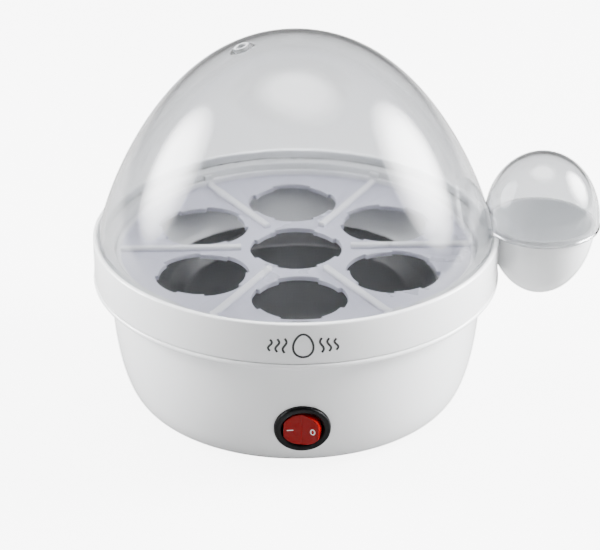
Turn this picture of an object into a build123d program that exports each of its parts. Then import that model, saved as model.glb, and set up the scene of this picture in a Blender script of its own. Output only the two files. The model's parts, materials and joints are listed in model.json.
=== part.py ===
"""Electric egg cooker for seven eggs: clear dome, lift-out egg tray, heating plate and white casing.

Millimetres, +Z up. The origin is on the casing's axis, at the level of the surface that it stands on.
The switch faces -Y, the side grip points along +X, and the cord inlet is at the back, +Y.
"""

from build123d import *
from math import asin, atan, cos, degrees, pi, radians, sin, tan
import os

# ---------------------------------------------------------------- driving sizes

# Casing
COLLAR_RADIUS = 90.0
COLLAR_WALL = 2.2
COLLAR_HEIGHT = 21.0        # from the collar's underside to its top edge
COLLAR_EDGE_ROUND = 0.9
SKIRT_GAP = 3.0             # the feet hold the casing this far off the table
BOWL_HEIGHT = 54.5          # from the casing's lower edge to the collar's underside
BOWL_STEP = 7.0             # how far the bowl's top stands inside the collar's face
BOWL_TAPER = 11.8           # how far the bowl draws in from its top to its base
BOWL_WALL = 2.2
BOWL_P = 2.15               # exponents of the bowl's curved outline
BOWL_Q = 1.91
FLANGE_THICKNESS = 2.2      # the bowl's rim, which closes the collar from below
FLANGE_OVERHANG = 0.5
SEAM = 0.3                  # visible line between the collar and the bowl's rim
SPIGOT_WALL = 2.0
SPIGOT_HEIGHT = 5.0
SPIGOT_GAP = 0.4
HOUSING_WALL = 2.0

# Lid
LID_WALL = 1.8
LID_GAP = 0.5               # between the dome and the collar
LID_SEAT_DEPTH = 4.0        # below the collar's top edge
DOME_RISE = 88.8            # from the collar's top edge to the apex
DOME_P = 1.24               # exponents of the dome's egg-shaped outline
DOME_Q = 2.265
VENT_RADIUS = 2.4
VENT_RIM_RADIUS = 4.2
VENT_RIM_HEIGHT = 0.8
VENT_OFFSET = 23.0          # from the axis, on the side away from the grip

# Side grip: a half-egg pocket on the collar, under a half-egg cover on the lid
GRIP_REACH = 19.5           # its axis, outside the collar's face
POCKET_RADIUS = 24.0
POCKET_WALL = 2.0
POCKET_DEPTH = 34.8
POCKET_RIM_RISE = 2.5       # above the collar's top edge
COVER_WALL = 1.6
COVER_GAP = 0.4
COVER_RISE = 30.9           # from the cover's widest ring to its apex
COVER_LIFT = 0.4            # the cover's lower edge above the collar's top edge
COVER_SKIRT = 2.6

# Egg tray
TRAY_GAP = 0.6
TRAY_LEDGE = 7.2            # the lid's seat, from the collar's inner wall to the tray's well
TRAY_THICKNESS = 2.0
TRAY_SEAT_DEPTH = 12.2      # below the collar's top edge
TRAY_SEAT_WIDTH = 4.0
TRAY_RIM_HEIGHT = 3.2
TRAY_RIM_WIDTH = 1.8
EGG_WEB = 10.2              # between the middle hole and the outer ones
OUTER_EGGS = 6
EGG_HOLE_RADIUS = 18.9
EGG_SLOT_DEPTH = 1.7
EGG_SLOTS = 4
EGG_SLOT_ANGLE = 54.0
RIB_WIDTH = 3.0
RIB_HEIGHT = 2.2
RIB_MARGIN = 5.6            # between the middle hole and a rib
NIB_WIDTH = 4.0
NIB_REACH = 1.6
NIB_GAP = 0.5
NIB_SINK = 1.0              # its top, below the lid's seat
NIB_ANGLES = (60.0, 120.0, 240.0, 300.0)

# Heating plate and the ring that it seats on
PLATE_RADIUS = 64.0
PLATE_GAP = 0.8
PLATE_SHEET = 1.4
PLATE_RIM_WIDTH = 7.0
PLATE_SLOPE_WIDTH = 6.0
PLATE_DEPTH = 6.0
PLATE_BEND = 2.5
PLATE_SEAT_DEPTH = 30.5     # below the collar's top edge
PLATE_SEAT_THICKNESS = 2.0
PLATE_SEAT_LAP = 4.4
PLATE_SEAT_STEP = 1.0       # how far below the plate's rim the funnel's underside starts
GASKET_THICKNESS = 1.0

# Heater under the plate
CASTING_MARGIN = 6.0        # inside the plate's flat
CASTING_WIDTH = 11.0
CASTING_HEIGHT = 8.0
CASTING_ARC = 300.0
CASTING_EDGE_ROUND = 1.0
ELEMENT_RADIUS = 3.1
COLD_END_DROP = 12.0
COLD_END_BEND = 5.0
COLD_END_GAP = 1.06         # between the clamp's rear arm and the bends of the cold ends
PIN_RADIUS = 1.2
PIN_LENGTH = 7.0
STUD_RADIUS = 2.5
STUD_LENGTH = 16.5
STUD_GAP = 0.2              # round the stud, in the spider and the washer
SPIDER_SHEET = 1.5
SPIDER_ARMS = 3
SPIDER_ARM_WIDTH = 10.0
SPIDER_HUB_RADIUS = 11.0
SPIDER_LAP = 1.1            # its uprights, outside the seat ring's inner edge
SPIDER_FOOT_LENGTH = 5.3
SPIDER_DROP = 1.0           # below the casting
WASHER_RADIUS = 6.0
WASHER_THICKNESS = 1.0
NUT_FLATS = 8.0
NUT_HEIGHT = 3.6
NUT_THREAD_GAP = 0.05

# Thermostat and fuse
THERMOSTAT_MARGIN = 5.2     # between the cup and the heater ring
THERMOSTAT_RADIUS = 7.8
THERMOSTAT_CUP_HEIGHT = 2.4
THERMOSTAT_BODY_HEIGHT = 6.4
THERMOSTAT_BODY_INSET = 0.6
THERMOSTAT_BODY_ROUND = 0.8
THERMOSTAT_EAR_SPAN = 24.0
THERMOSTAT_BRACKET_SHEET = 0.8
THERMOSTAT_BRACKET_WIDTH = 8.0
THERMOSTAT_EAR_HOLE_RADIUS = 1.5
THERMOSTAT_SCREW_RADIUS = 1.4
THERMOSTAT_SCREW_HEAD_RADIUS = 2.6
THERMOSTAT_SCREW_HEAD_HEIGHT = 1.6
THERMOSTAT_TAB_OFFSET = 4.0
TAB_WIDTH = 4.8
TAB_THICKNESS = 0.8
TAB_LENGTH = 6.5
FUSE_RADIUS = 2.0
FUSE_LENGTH = 12.0
FUSE_LEAD_RADIUS = 0.6
FUSE_LEAD_LENGTH = 6.0
FUSE_DROP = 1.2             # below the plate
FUSE_SHIFT = 2.0            # towards the back
FUSE_EDGE_ROUND = 0.6

# Rocker switch, in its own frame on the wall: u right, v up, w outwards
SWITCH_HEIGHT = 20.3        # its centre above the casing's lower edge
BEZEL_RADIUS = 12.0
BEZEL_THICKNESS = 2.2
BEZEL_SINK = 1.2
BEZEL_EDGE_ROUND = 0.9
BEZEL_LIP = 2.3
BARREL_DEPTH = 16.0
BARREL_GAP = 0.2
SWITCH_PAD_MARGIN = 3.0     # outside the bezel
SWITCH_PAD_THICKNESS = 3.4
BARREL_WALL = 0.95
WELL_CHAMFER = 0.9
WELL_FLOOR = 1.6
ROCKER_SIDE_GAP = 0.45
ROCKER_SWING_GAP = 0.3
ROCKER_PIVOT_SINK = 3.0     # below the bezel's face
ROCKER_BODY_DEPTH = 3.0     # below the pivot
ROCKER_FACE_RISE = 1.3      # the outer ends of the two faces above the bezel's face
ROCKER_DIP_SINK = 0.3       # the crease between the faces below the bezel's face
ROCKER_TILT = 9.0           # each way from level
ROCKER_WALL = 1.3
ROCKER_EDGE_ROUND = 0.3
TRUNNION_RADIUS = 1.2
TRUNNION_CLEARANCE = 0.05
TRUNNION_END_GAP = 0.1      # at each end, inside the barrel's face
STEM_RADIUS = 2.0
STEM_BORE_RADIUS = 1.35
STEM_DEPTH = 6.2            # below the pivot
PLUNGER_RADIUS = 1.25
PLUNGER_TIP_DEPTH = 8.85
PLUNGER_REACH = 1.6         # its top, inside the stem
SPRING_SEAT = 1.0           # the spring's upper end, below the pivot
SPRING_GAP = 0.18           # at each end of the spring
SPRING_WIRE = 0.15
SPRING_TURNS = 5
ARM_LENGTH = 10.6
ARM_WIDTH = 4.0
ARM_SHEET = 0.6
ARM_CORNER = 0.6
KNUCKLE_RADIUS = 0.5
KNUCKLE_GAP = 0.3
TERMINAL_SPACING = 5.6
TERMINAL_RISE = 1.0         # above the switch's floor
TERMINAL_SLOT_GAP = 0.05    # round each tab in the floor
CONTACT_RADIUS = 1.2
CONTACT_GAP = 0.25
ARM_DEPTH = 9.2             # the contact arm's top at its middle, below the pivot
ARM_TILT = 7.0
LAMP_RADIUS = 1.1
LAMP_LENGTH = 6.0
LAMP_OFFSET = 4.2
LAMP_SINK = 0.6             # below the pivot
LAMP_GAP = 0.1
LAMP_EDGE_ROUND = 0.5

# Bottom cover, feet and screws
COVER_PLATE_THICKNESS = 2.2
COVER_PLATE_GAP = 0.5
COVER_PLATE_RECESS = 1.2    # above the casing's lower edge
SKIRT_LIP = 2.2
LEDGE_WIDTH = 4.5
LEDGE_THICKNESS = 2.0
POST_INSET = 3.5            # inside the plate's edge
POST_RADIUS = 3.6
POST_BORE_RADIUS = 1.3
POST_ANGLES = (45.0, 135.0, 225.0, 315.0)
POST_GAP = 0.3
SCREW_RADIUS = 1.25
SCREW_GRIP = 9.0
SCREW_HEAD_RADIUS = 2.8
SCREW_HEAD_HEIGHT = 1.6
SCREW_HOLE_RADIUS = 1.7
SCREW_HEAD_GAP = 0.3
SCREW_BORE_SPARE = 2.0      # bore past the screw's end
HEAD_ROUND_SHARE = 0.375    # how much of a screw head's height is rounded
CROSS_SPAN = 3.0            # a cross recess, from end to end
CROSS_WIDTH = 0.6
CROSS_DEPTH = 0.8
FOOT_RADIUS = 6.5
FOOT_INSET = 11.5           # inside the cover's edge
FOOT_PLUG_RADIUS = 2.6
FOOT_ANGLES = (30.0, 150.0, 210.0, 330.0)
FOOT_FIT = 0.1
FOOT_EDGE_ROUND = 0.8
FOOT_CATCH_LIP = 0.3        # how far the catch spreads past the plug
FOOT_CATCH_HEIGHT = 2.0
FOOT_TIP_RADIUS = 1.56
VENT_SLOT_WIDTH = 2.4
VENT_SLOT_LENGTH = 22.0
VENT_SLOT_PITCH = 6.0
VENT_SLOT_COUNT = 5
VENT_SLOT_OFFSET = 33.0
LABEL_WIDTH = 44.0
LABEL_DEPTH = 26.0
LABEL_THICKNESS = 0.2

# Cord inlet and wiring
INLET_HEIGHT = 17.0         # its centre above the casing's lower edge
INLET_BORE_RADIUS = 3.4
INLET_BUSH_RADIUS = 5.6
INLET_FLANGE_RADIUS = 8.0
INLET_FLANGE_THICKNESS = 1.8
INLET_NUT_THICKNESS = 2.6
INLET_BOSS_RADIUS = 9.5
INLET_BOSS_PROUD = 0.4
INLET_FIT = 0.15
BLOCK_LENGTH = 30.0
BLOCK_DEPTH = 15.0
BLOCK_HEIGHT = 11.0
BLOCK_OFFSET = 52.0
BLOCK_WAYS = 3
BLOCK_PITCH = 9.0
BLOCK_BASE = 4.0            # the brass tubes' centre line above the block's foot
TUBE_RADIUS = 2.2
TUBE_BORE_RADIUS = 1.3
TUBE_LENGTH = 12.0
BLOCK_CORNER = 1.2
BLOCK_SCREW_RADIUS = 1.2
BLOCK_SCREW_SINK = 1.2      # below the block's top
BLOCK_SCREW_GAP = 0.05      # in the brass tube's thread
BLOCK_WELL_GAP = 0.7        # round the screw, in the block
BLOCK_SLOT_WIDTH = 0.5
BLOCK_SLOT_DEPTH = 0.5
EARTH_TAG_OFFSET = 30.0
WIRE_RADIUS = 1.1
WIRE_BEND = 6.0

# ---------------------------------------------------------------- levels and radii that follow

# Casing and lid
bowl_bottom_z = SKIRT_GAP
bowl_top_z = bowl_bottom_z + BOWL_HEIGHT
bowl_top_radius = COLLAR_RADIUS - BOWL_STEP
bowl_base_radius = bowl_top_radius - BOWL_TAPER
flange_top_z = bowl_top_z + FLANGE_THICKNESS
collar_top_z = bowl_top_z + COLLAR_HEIGHT
collar_inner = COLLAR_RADIUS - COLLAR_WALL
lid_seat_z = collar_top_z - LID_SEAT_DEPTH
dome_radius = collar_inner - LID_GAP
grip_offset = COLLAR_RADIUS + GRIP_REACH
pocket_rim_z = collar_top_z + POCKET_RIM_RISE
cover_radius = POCKET_RADIUS + COVER_GAP + COVER_WALL
cover_foot_z = collar_top_z + COVER_LIFT
cover_ring_z = cover_foot_z + COVER_SKIRT

# Egg tray
tray_wall_radius = collar_inner - TRAY_LEDGE
tray_radius = tray_wall_radius - TRAY_GAP
tray_seat_radius = tray_wall_radius - TRAY_SEAT_WIDTH
tray_seat_z = collar_top_z - TRAY_SEAT_DEPTH
tray_top_z = tray_seat_z + TRAY_THICKNESS
egg_circle_radius = 2 * EGG_HOLE_RADIUS + EGG_WEB
egg_slot_radius = EGG_HOLE_RADIUS + EGG_SLOT_DEPTH
rib_start = EGG_HOLE_RADIUS + RIB_MARGIN

# Heating plate and what hangs under it
plate_seat_z = collar_top_z - PLATE_SEAT_DEPTH
plate_seat_under_z = plate_seat_z - PLATE_SEAT_THICKNESS
plate_nest_radius = PLATE_RADIUS + PLATE_GAP
plate_seat_inner = PLATE_RADIUS - PLATE_SEAT_LAP
plate_rim_z = plate_seat_z + GASKET_THICKNESS + PLATE_SHEET
plate_top_z = plate_rim_z - PLATE_DEPTH
plate_under_z = plate_top_z - PLATE_SHEET
plate_cone_radius = PLATE_RADIUS - PLATE_RIM_WIDTH
plate_flat_radius = plate_cone_radius - PLATE_SLOPE_WIDTH
casting_outer = plate_flat_radius - CASTING_MARGIN
casting_inner = casting_outer - CASTING_WIDTH
casting_under_z = plate_under_z - CASTING_HEIGHT
thermostat_offset = casting_inner - THERMOSTAT_RADIUS - THERMOSTAT_MARGIN
spider_top_z = casting_under_z - SPIDER_DROP
spider_upright_radius = plate_seat_inner + SPIDER_LAP
spider_foot_radius = spider_upright_radius + SPIDER_FOOT_LENGTH

# Switch
switch_pad_radius = BEZEL_RADIUS + SWITCH_PAD_MARGIN
barrel_radius = BEZEL_RADIUS - BEZEL_LIP
well_radius = barrel_radius - BARREL_WALL
rocker_radius = well_radius - ROCKER_SIDE_GAP
rocker_swing_radius = well_radius - ROCKER_SWING_GAP

# Bottom cover
cover_pocket_radius = bowl_base_radius - SKIRT_LIP
cover_plate_radius = cover_pocket_radius - COVER_PLATE_GAP
cover_plate_z = bowl_bottom_z + COVER_PLATE_RECESS
cover_plate_top_z = cover_plate_z + COVER_PLATE_THICKNESS
ledge_top_z = cover_plate_top_z + LEDGE_THICKNESS
post_circle_radius = PLATE_RADIUS - POST_INSET
foot_circle_radius = cover_plate_radius - FOOT_INSET


# ---------------------------------------------------------------- outlines


def bulge(share, p, q):
    """Share of the full radius left at a share of the full height, on a soft egg-like curve."""
    return (1.0 - share**p) ** (1.0 / q)


def bulge_points(p, q, steps):
    """(radius share, height share) pairs along that curve, from its widest point to its end."""
    turns = [0.5 * pi * i / steps for i in range(1, steps)]
    return [(1.0, 0.0)] + [(cos(t) ** (2 / q), sin(t) ** (2 / p)) for t in turns] + [(0.0, 1.0)]


def dome_outline(radius, rise, foot_z):
    """The dome's half section edge, from its widest ring up to the apex."""
    points = [(radius * r, foot_z + rise * h) for r, h in bulge_points(DOME_P, DOME_Q, 9)]
    return Spline(points, tangents=[(0, 1), (-1, 0)])


def bowl_radius(z, inset=0.0):
    """The bowl's outline at a height, drawn in by a wall thickness."""
    low = bowl_bottom_z + inset
    share = min(1.0, max(0.0, (bowl_top_z - z) / (bowl_top_z - low)))
    return bowl_base_radius - inset + (bowl_top_radius - bowl_base_radius) * bulge(share, BOWL_P, BOWL_Q)


def bowl_outline():
    """The bowl's outer edge from its top down to the casing's lower edge."""
    span = bowl_top_radius - bowl_base_radius
    shares = bulge_points(BOWL_P, BOWL_Q, 8)
    points = [(bowl_base_radius + span * r, bowl_top_z - BOWL_HEIGHT * h) for r, h in shares]
    return Spline(points, tangents=[(0, -1), (-1, 0)])


def bowl_slope(z):
    """How far the wall leans outwards with height, in degrees."""
    step = 0.5
    return degrees(atan((bowl_radius(z + step) - bowl_radius(z - step)) / (2 * step)))


def turned(*edges):
    """A solid of revolution about Z from closed half-section edges given as (radius, z)."""
    return revolve(Plane.XZ * make_face(Curve() + list(edges)), Axis.Z)


def turned_polygon(points):
    return revolve(Plane.XZ * make_face(Polyline(*points, close=True)), Axis.Z)


def ring(outer, inner, low, high):
    """A plain ring about Z."""
    return turned_polygon([(inner, low), (outer, low), (outer, high), (inner, high)])


def disc(radius, low, high):
    return Pos(0, 0, low) * Cylinder(radius, high - low, align=(Align.CENTER, Align.CENTER, Align.MIN))


def around(angles, radius):
    """Places on a circle about Z, each turned to face outwards."""
    return [Rot(0, 0, a) * Pos(radius, 0, 0) for a in angles]


def half_egg(radius, ring_z, reach, foot_z=None):
    """A solid half egg about Z: half an ellipse above or below its ring, and a straight skirt."""
    points = [(radius * r, ring_z + reach * h) for r, h in bulge_points(2, 2, 8)]
    arc = Spline(points, tangents=[(0, 1 if reach > 0 else -1), (-1, 0)])
    skirt_z = ring_z if foot_z is None else foot_z
    corners = [(0, ring_z + reach), (0, skirt_z), (radius, skirt_z)]
    if skirt_z != ring_z:
        corners.append((radius, ring_z))
    return turned(arc, Polyline(*corners) if len(corners) > 2 else Line(*corners))


# ---------------------------------------------------------------- lid


def dome_solid(inset):
    """The dome filled in, drawn in by a wall thickness."""
    radius, rise = dome_radius - inset, DOME_RISE - inset
    outline = dome_outline(radius, rise, collar_top_z)
    foot = Polyline((0, collar_top_z + rise), (0, lid_seat_z), (radius, lid_seat_z), (radius, collar_top_z))
    return turned(outline, foot)


def make_lid():
    """One clear moulding: the dome, the half-egg cover of the side grip, and a rimmed steam vent."""
    dome = dome_solid(0.0)
    hollow = dome_solid(LID_WALL)
    cover = half_egg(cover_radius, cover_ring_z, COVER_RISE, cover_foot_z)
    cover_hollow = half_egg(cover_radius - COVER_WALL, cover_ring_z, COVER_RISE - COVER_WALL, cover_foot_z)
    cover_shell = Pos(grip_offset, 0, 0) * (cover - cover_hollow)
    lid = (dome - hollow) + (cover_shell - dome)

    share = 1.0 - (VENT_OFFSET / dome_radius) ** DOME_Q
    vent_z = collar_top_z + DOME_RISE * share ** (1.0 / DOME_P)
    step = 0.5
    higher = 1.0 - ((VENT_OFFSET - step) / dome_radius) ** DOME_Q
    slope = (DOME_RISE * higher ** (1.0 / DOME_P) + collar_top_z - vent_z) / step
    vent = Plane(origin=(-VENT_OFFSET, 0, vent_z), x_dir=(0, 1, 0), z_dir=(-slope, 0, 1))
    rim = vent * Cylinder(VENT_RIM_RADIUS, 2 * VENT_RIM_HEIGHT)
    bore = vent * Cylinder(VENT_RADIUS, 8 * LID_WALL)
    return lid + (rim - hollow) - bore


# ---------------------------------------------------------------- egg tray


def seat_cutter():
    """The opening for one egg: a round hole with wider steam slots, one of them towards +X."""
    cutter = Cylinder(EGG_HOLE_RADIUS, 4 * TRAY_THICKNESS)
    reach = egg_slot_radius
    half = radians(EGG_SLOT_ANGLE / 2)
    wedge = make_face(
        Curve()
        + [
            Line((0, 0), (reach * cos(half), -reach * sin(half))),
            CenterArc((0, 0), reach, -EGG_SLOT_ANGLE / 2, EGG_SLOT_ANGLE),
            Line((reach * cos(half), reach * sin(half)), (0, 0)),
        ]
    )
    slot = Pos(0, 0, -2 * TRAY_THICKNESS) * extrude(wedge, 4 * TRAY_THICKNESS)
    for i in range(EGG_SLOTS):
        cutter += Rot(0, 0, 360 * i / EGG_SLOTS) * slot
    return cutter


def make_egg_tray():
    """Flat moulded tray: seven egg seats, radial ribs between the outer ones, and a raised rim."""
    rim_top = tray_top_z + TRAY_RIM_HEIGHT
    tray = disc(tray_radius, tray_seat_z, tray_top_z)
    tray += ring(tray_radius, tray_radius - TRAY_RIM_WIDTH, tray_seat_z, rim_top)
    rib_length = tray_radius - TRAY_RIM_WIDTH / 2 - rib_start
    rib = Box(rib_length, RIB_WIDTH, RIB_HEIGHT, align=(Align.MIN, Align.CENTER, Align.MIN))
    rib = fillet(rib.edges().filter_by(Axis.X).group_by(Axis.Z)[-1], min(RIB_HEIGHT, RIB_WIDTH) * 0.4)
    for i in range(OUTER_EGGS):
        tray += Rot(0, 0, 360 * i / OUTER_EGGS) * Pos(rib_start, 0, tray_top_z) * rib
    cutter = Pos(0, 0, tray_seat_z) * seat_cutter()
    tray -= Rot(0, 0, -90) * cutter
    seat_angles = [360 * (i + 0.5) / OUTER_EGGS for i in range(OUTER_EGGS)]
    for place in around(seat_angles, egg_circle_radius):
        tray -= place * cutter
    notch_width = NIB_WIDTH + 2 * NIB_GAP
    notch = Box(2 * (NIB_REACH - TRAY_GAP + NIB_GAP), notch_width, 6 * (TRAY_THICKNESS + TRAY_RIM_HEIGHT))
    for place in around(NIB_ANGLES, tray_radius):
        tray -= Pos(0, 0, tray_top_z) * place * notch
    return tray


# ---------------------------------------------------------------- casing


def make_upper_housing():
    """The collar with the lid and tray seats, the funnel to the plate, screw posts and side pocket."""
    wall = HOUSING_WALL
    step_outer = tray_wall_radius + wall
    collar = [
        (COLLAR_RADIUS, flange_top_z + SEAM),
        (COLLAR_RADIUS, collar_top_z),
        (collar_inner, collar_top_z),
        (collar_inner, lid_seat_z),
        (tray_wall_radius, lid_seat_z),
        (tray_wall_radius, tray_seat_z),
        (tray_seat_radius, tray_seat_z),
        (plate_nest_radius, plate_rim_z),
        (plate_nest_radius, plate_seat_z),
        (plate_seat_inner, plate_seat_z),
        (plate_seat_inner, plate_seat_under_z),
        (plate_nest_radius + wall, plate_seat_under_z),
        (plate_nest_radius + wall, plate_rim_z - PLATE_SEAT_STEP),
        (tray_seat_radius + wall, tray_seat_z - wall),
        (step_outer, tray_seat_z - wall),
        (step_outer, lid_seat_z - wall),
        (collar_inner, lid_seat_z - wall),
        (collar_inner, flange_top_z + SEAM),
    ]
    housing = turned_polygon(collar)
    top_edges = housing.edges().filter_by(GeomType.CIRCLE).group_by(Axis.Z)[-1]
    housing = fillet(top_edges, COLLAR_EDGE_ROUND)

    nib_height = lid_seat_z - tray_seat_z - NIB_SINK
    nib_depth = NIB_REACH + wall / 2
    nib = Box(nib_depth, NIB_WIDTH, nib_height, align=(Align.MIN, Align.CENTER, Align.MIN))
    for place in around(NIB_ANGLES, tray_wall_radius - NIB_REACH):
        housing += Pos(0, 0, tray_seat_z) * place * nib

    post_low = cover_plate_top_z + POST_GAP
    post = disc(POST_RADIUS, post_low, plate_seat_under_z)
    post -= disc(POST_BORE_RADIUS, post_low, post_low + SCREW_GRIP + SCREW_BORE_SPARE)
    for place in around(POST_ANGLES, post_circle_radius):
        housing += place * post

    pocket = half_egg(POCKET_RADIUS, pocket_rim_z, -POCKET_DEPTH)
    pocket -= half_egg(POCKET_RADIUS - POCKET_WALL, pocket_rim_z, POCKET_WALL - POCKET_DEPTH)
    pocket = Pos(grip_offset, 0, 0) * pocket
    pocket -= disc(COLLAR_RADIUS - COLLAR_WALL / 2, bowl_bottom_z, pocket_rim_z + 1.0)
    pocket -= disc(COLLAR_RADIUS + FLANGE_OVERHANG + SEAM, bowl_bottom_z, flange_top_z + SEAM)
    return housing + pocket


def switch_plane():
    """The switch's frame: on the bowl's wall at the front, w along the wall's outward normal."""
    height = bowl_bottom_z + SWITCH_HEIGHT
    lean = radians(bowl_slope(height))
    outwards = (0, -cos(lean), -sin(lean))
    return Plane(origin=(0, -bowl_radius(height), height), x_dir=(1, 0, 0), z_dir=outwards)


def inlet_faces():
    """Y of the inlet boss's outer and inner faces, clear of the curved wall, and its height."""
    height = bowl_bottom_z + INLET_HEIGHT
    outer = bowl_radius(height + INLET_BOSS_RADIUS) + INLET_BOSS_PROUD
    inner = bowl_radius(height - INLET_BOSS_RADIUS) - BOWL_WALL - INLET_BOSS_PROUD
    return outer, inner, height


def along_y(radius, y_low, y_high, z):
    """A cylinder along Y at x = 0."""
    place = Plane(origin=(0, y_low, z), x_dir=(1, 0, 0), z_dir=(0, 1, 0))
    return place * Cylinder(radius, y_high - y_low, align=(Align.CENTER, Align.CENTER, Align.MIN))


def make_lower_housing():
    """The bowl: curved wall, rim under the collar, spigot inside the collar, and a ledge for the cover."""
    inner_top = bowl_top_radius - BOWL_WALL
    spigot_outer = collar_inner - SPIGOT_GAP
    heights = [ledge_top_z + (bowl_top_z - ledge_top_z) * (i / 6) ** 1.6 for i in range(7)]
    inner = Spline([(bowl_radius(z, BOWL_WALL), z) for z in heights])
    foot = Polyline(
        (bowl_base_radius, bowl_bottom_z),
        (cover_pocket_radius, bowl_bottom_z),
        (cover_pocket_radius, cover_plate_top_z),
        (cover_pocket_radius - LEDGE_WIDTH, cover_plate_top_z),
        (cover_pocket_radius - LEDGE_WIDTH, ledge_top_z),
        (bowl_radius(ledge_top_z, BOWL_WALL), ledge_top_z),
    )
    rim = Polyline(
        (inner_top, bowl_top_z),
        (inner_top, flange_top_z),
        (spigot_outer - SPIGOT_WALL, flange_top_z),
        (spigot_outer - SPIGOT_WALL, flange_top_z + SPIGOT_HEIGHT),
        (spigot_outer, flange_top_z + SPIGOT_HEIGHT),
        (spigot_outer, flange_top_z),
        (COLLAR_RADIUS + FLANGE_OVERHANG, flange_top_z),
        (COLLAR_RADIUS + FLANGE_OVERHANG, bowl_top_z),
        (bowl_top_radius, bowl_top_z),
    )
    bowl = turned(bowl_outline(), foot, inner, rim)
    bead = bowl.edges().filter_by(GeomType.CIRCLE).filter_by(
        lambda e: abs(e.radius - COLLAR_RADIUS - FLANGE_OVERHANG) < 0.01
    )
    bowl = fillet(bead, FLANGE_THICKNESS * 0.4)
    filled = turned(
        bowl_outline(),
        Polyline(
            (bowl_base_radius, bowl_bottom_z),
            (0, bowl_bottom_z),
            (0, bowl_top_z),
            (bowl_top_radius, bowl_top_z),
        ),
    )

    wall = switch_plane()
    pad_depth = BEZEL_SINK + SWITCH_PAD_THICKNESS
    pad = wall * Pos(0, 0, -pad_depth / 2) * Cylinder(switch_pad_radius, pad_depth)
    bowl += pad & filled
    recess_radius = BEZEL_RADIUS + BARREL_GAP
    bowl -= wall * Pos(0, 0, -BEZEL_SINK) * Cylinder(
        recess_radius, 4 * BEZEL_SINK, align=(Align.CENTER, Align.CENTER, Align.MIN)
    )
    bowl -= wall * Cylinder(barrel_radius + BARREL_GAP, 4 * pad_depth)

    outer_y, inner_y, inlet_z = inlet_faces()
    bowl += along_y(INLET_BOSS_RADIUS, inner_y, outer_y, inlet_z)
    bowl -= along_y(INLET_BUSH_RADIUS + INLET_FIT, inner_y - 1.0, outer_y + 1.0, inlet_z)
    return bowl


def vent_slots():
    """Two groups of straight vent slots."""
    slot = Box(VENT_SLOT_WIDTH, VENT_SLOT_LENGTH, 4 * COVER_PLATE_THICKNESS)
    slot = fillet(slot.edges().filter_by(Axis.Z), VENT_SLOT_WIDTH * 0.48)
    middle = (VENT_SLOT_COUNT - 1) / 2
    return [
        Pos(side * VENT_SLOT_OFFSET + (i - middle) * VENT_SLOT_PITCH, 0, cover_plate_z) * slot
        for side in (-1, 1)
        for i in range(VENT_SLOT_COUNT)
    ]


def make_bottom_cover():
    cover = disc(cover_plate_radius, cover_plate_z, cover_plate_top_z)
    head_radius = SCREW_HEAD_RADIUS + SCREW_HEAD_GAP
    for place in around(POST_ANGLES, post_circle_radius):
        cover -= place * disc(SCREW_HOLE_RADIUS, cover_plate_z - 1, cover_plate_top_z + 1)
        cover -= place * disc(head_radius, cover_plate_z - 1, cover_plate_z + SCREW_HEAD_HEIGHT / 2)
    for place in around(FOOT_ANGLES, foot_circle_radius):
        cover -= place * disc(FOOT_PLUG_RADIUS + FOOT_FIT, cover_plate_z - 1, cover_plate_top_z + 1)
    for slot in vent_slots():
        cover -= slot
    return cover


def make_cover_screws():
    """Four pan-head screws up into the posts, each with a cross recess."""
    seat_z = cover_plate_z + SCREW_HEAD_HEIGHT / 2
    head = disc(SCREW_HEAD_RADIUS, seat_z - SCREW_HEAD_HEIGHT, seat_z)
    head = fillet(head.edges().group_by(Axis.Z)[0], SCREW_HEAD_HEIGHT * HEAD_ROUND_SHARE)
    shank = disc(SCREW_RADIUS, seat_z, cover_plate_top_z + SCREW_GRIP)
    bar = Box(CROSS_SPAN, CROSS_WIDTH, 2 * CROSS_DEPTH)
    recess = Pos(0, 0, seat_z - SCREW_HEAD_HEIGHT) * (bar + Rot(0, 0, 90) * bar)
    screw = head + shank - recess
    return Compound(children=[place * screw for place in around(POST_ANGLES, post_circle_radius)])


def make_rubber_feet():
    """Four push-in feet: a pad on the table and a plug with a catch through the cover."""
    pad = disc(FOOT_RADIUS, 0, cover_plate_z)
    pad = fillet(pad.edges().group_by(Axis.Z)[0], FOOT_EDGE_ROUND)
    plug = disc(FOOT_PLUG_RADIUS, cover_plate_z, cover_plate_top_z)
    catch_radius = FOOT_PLUG_RADIUS + FOOT_CATCH_LIP
    catch = Pos(0, 0, cover_plate_top_z) * Cone(
        catch_radius, FOOT_TIP_RADIUS, FOOT_CATCH_HEIGHT, align=(Align.CENTER, Align.CENTER, Align.MIN)
    )
    foot = pad + plug + catch
    return Compound(children=[place * foot for place in around(FOOT_ANGLES, foot_circle_radius)])


def make_rating_label():
    """A blank silver label under the cover."""
    label = Box(LABEL_WIDTH, LABEL_DEPTH, LABEL_THICKNESS, align=(Align.CENTER, Align.CENTER, Align.MAX))
    return Pos(0, 0, cover_plate_z) * label


# ---------------------------------------------------------------- heating plate and heater


def make_heating_plate():
    """A pressed dish that holds the water, with a flat rim over the gasket."""
    sheet, bend = PLATE_SHEET, PLATE_BEND
    top = [
        (0, plate_top_z),
        (plate_flat_radius, plate_top_z),
        (plate_cone_radius, plate_rim_z),
        (PLATE_RADIUS, plate_rim_z),
    ]
    under = [
        (PLATE_RADIUS, plate_rim_z - sheet),
        (plate_cone_radius + sheet / 2, plate_rim_z - sheet),
        (plate_flat_radius + sheet / 2, plate_under_z),
        (0, plate_under_z),
    ]
    upper = FilletPolyline(*top, radius=bend)
    lower = FilletPolyline(*under, radius=bend)
    return turned(upper, Line(top[-1], under[0]), lower, Line(under[-1], top[0]))


def make_plate_gasket():
    return ring(PLATE_RADIUS, plate_seat_inner, plate_seat_z, plate_seat_z + GASKET_THICKNESS)


def element_centre_z():
    return casting_under_z + CASTING_HEIGHT / 2


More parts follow.
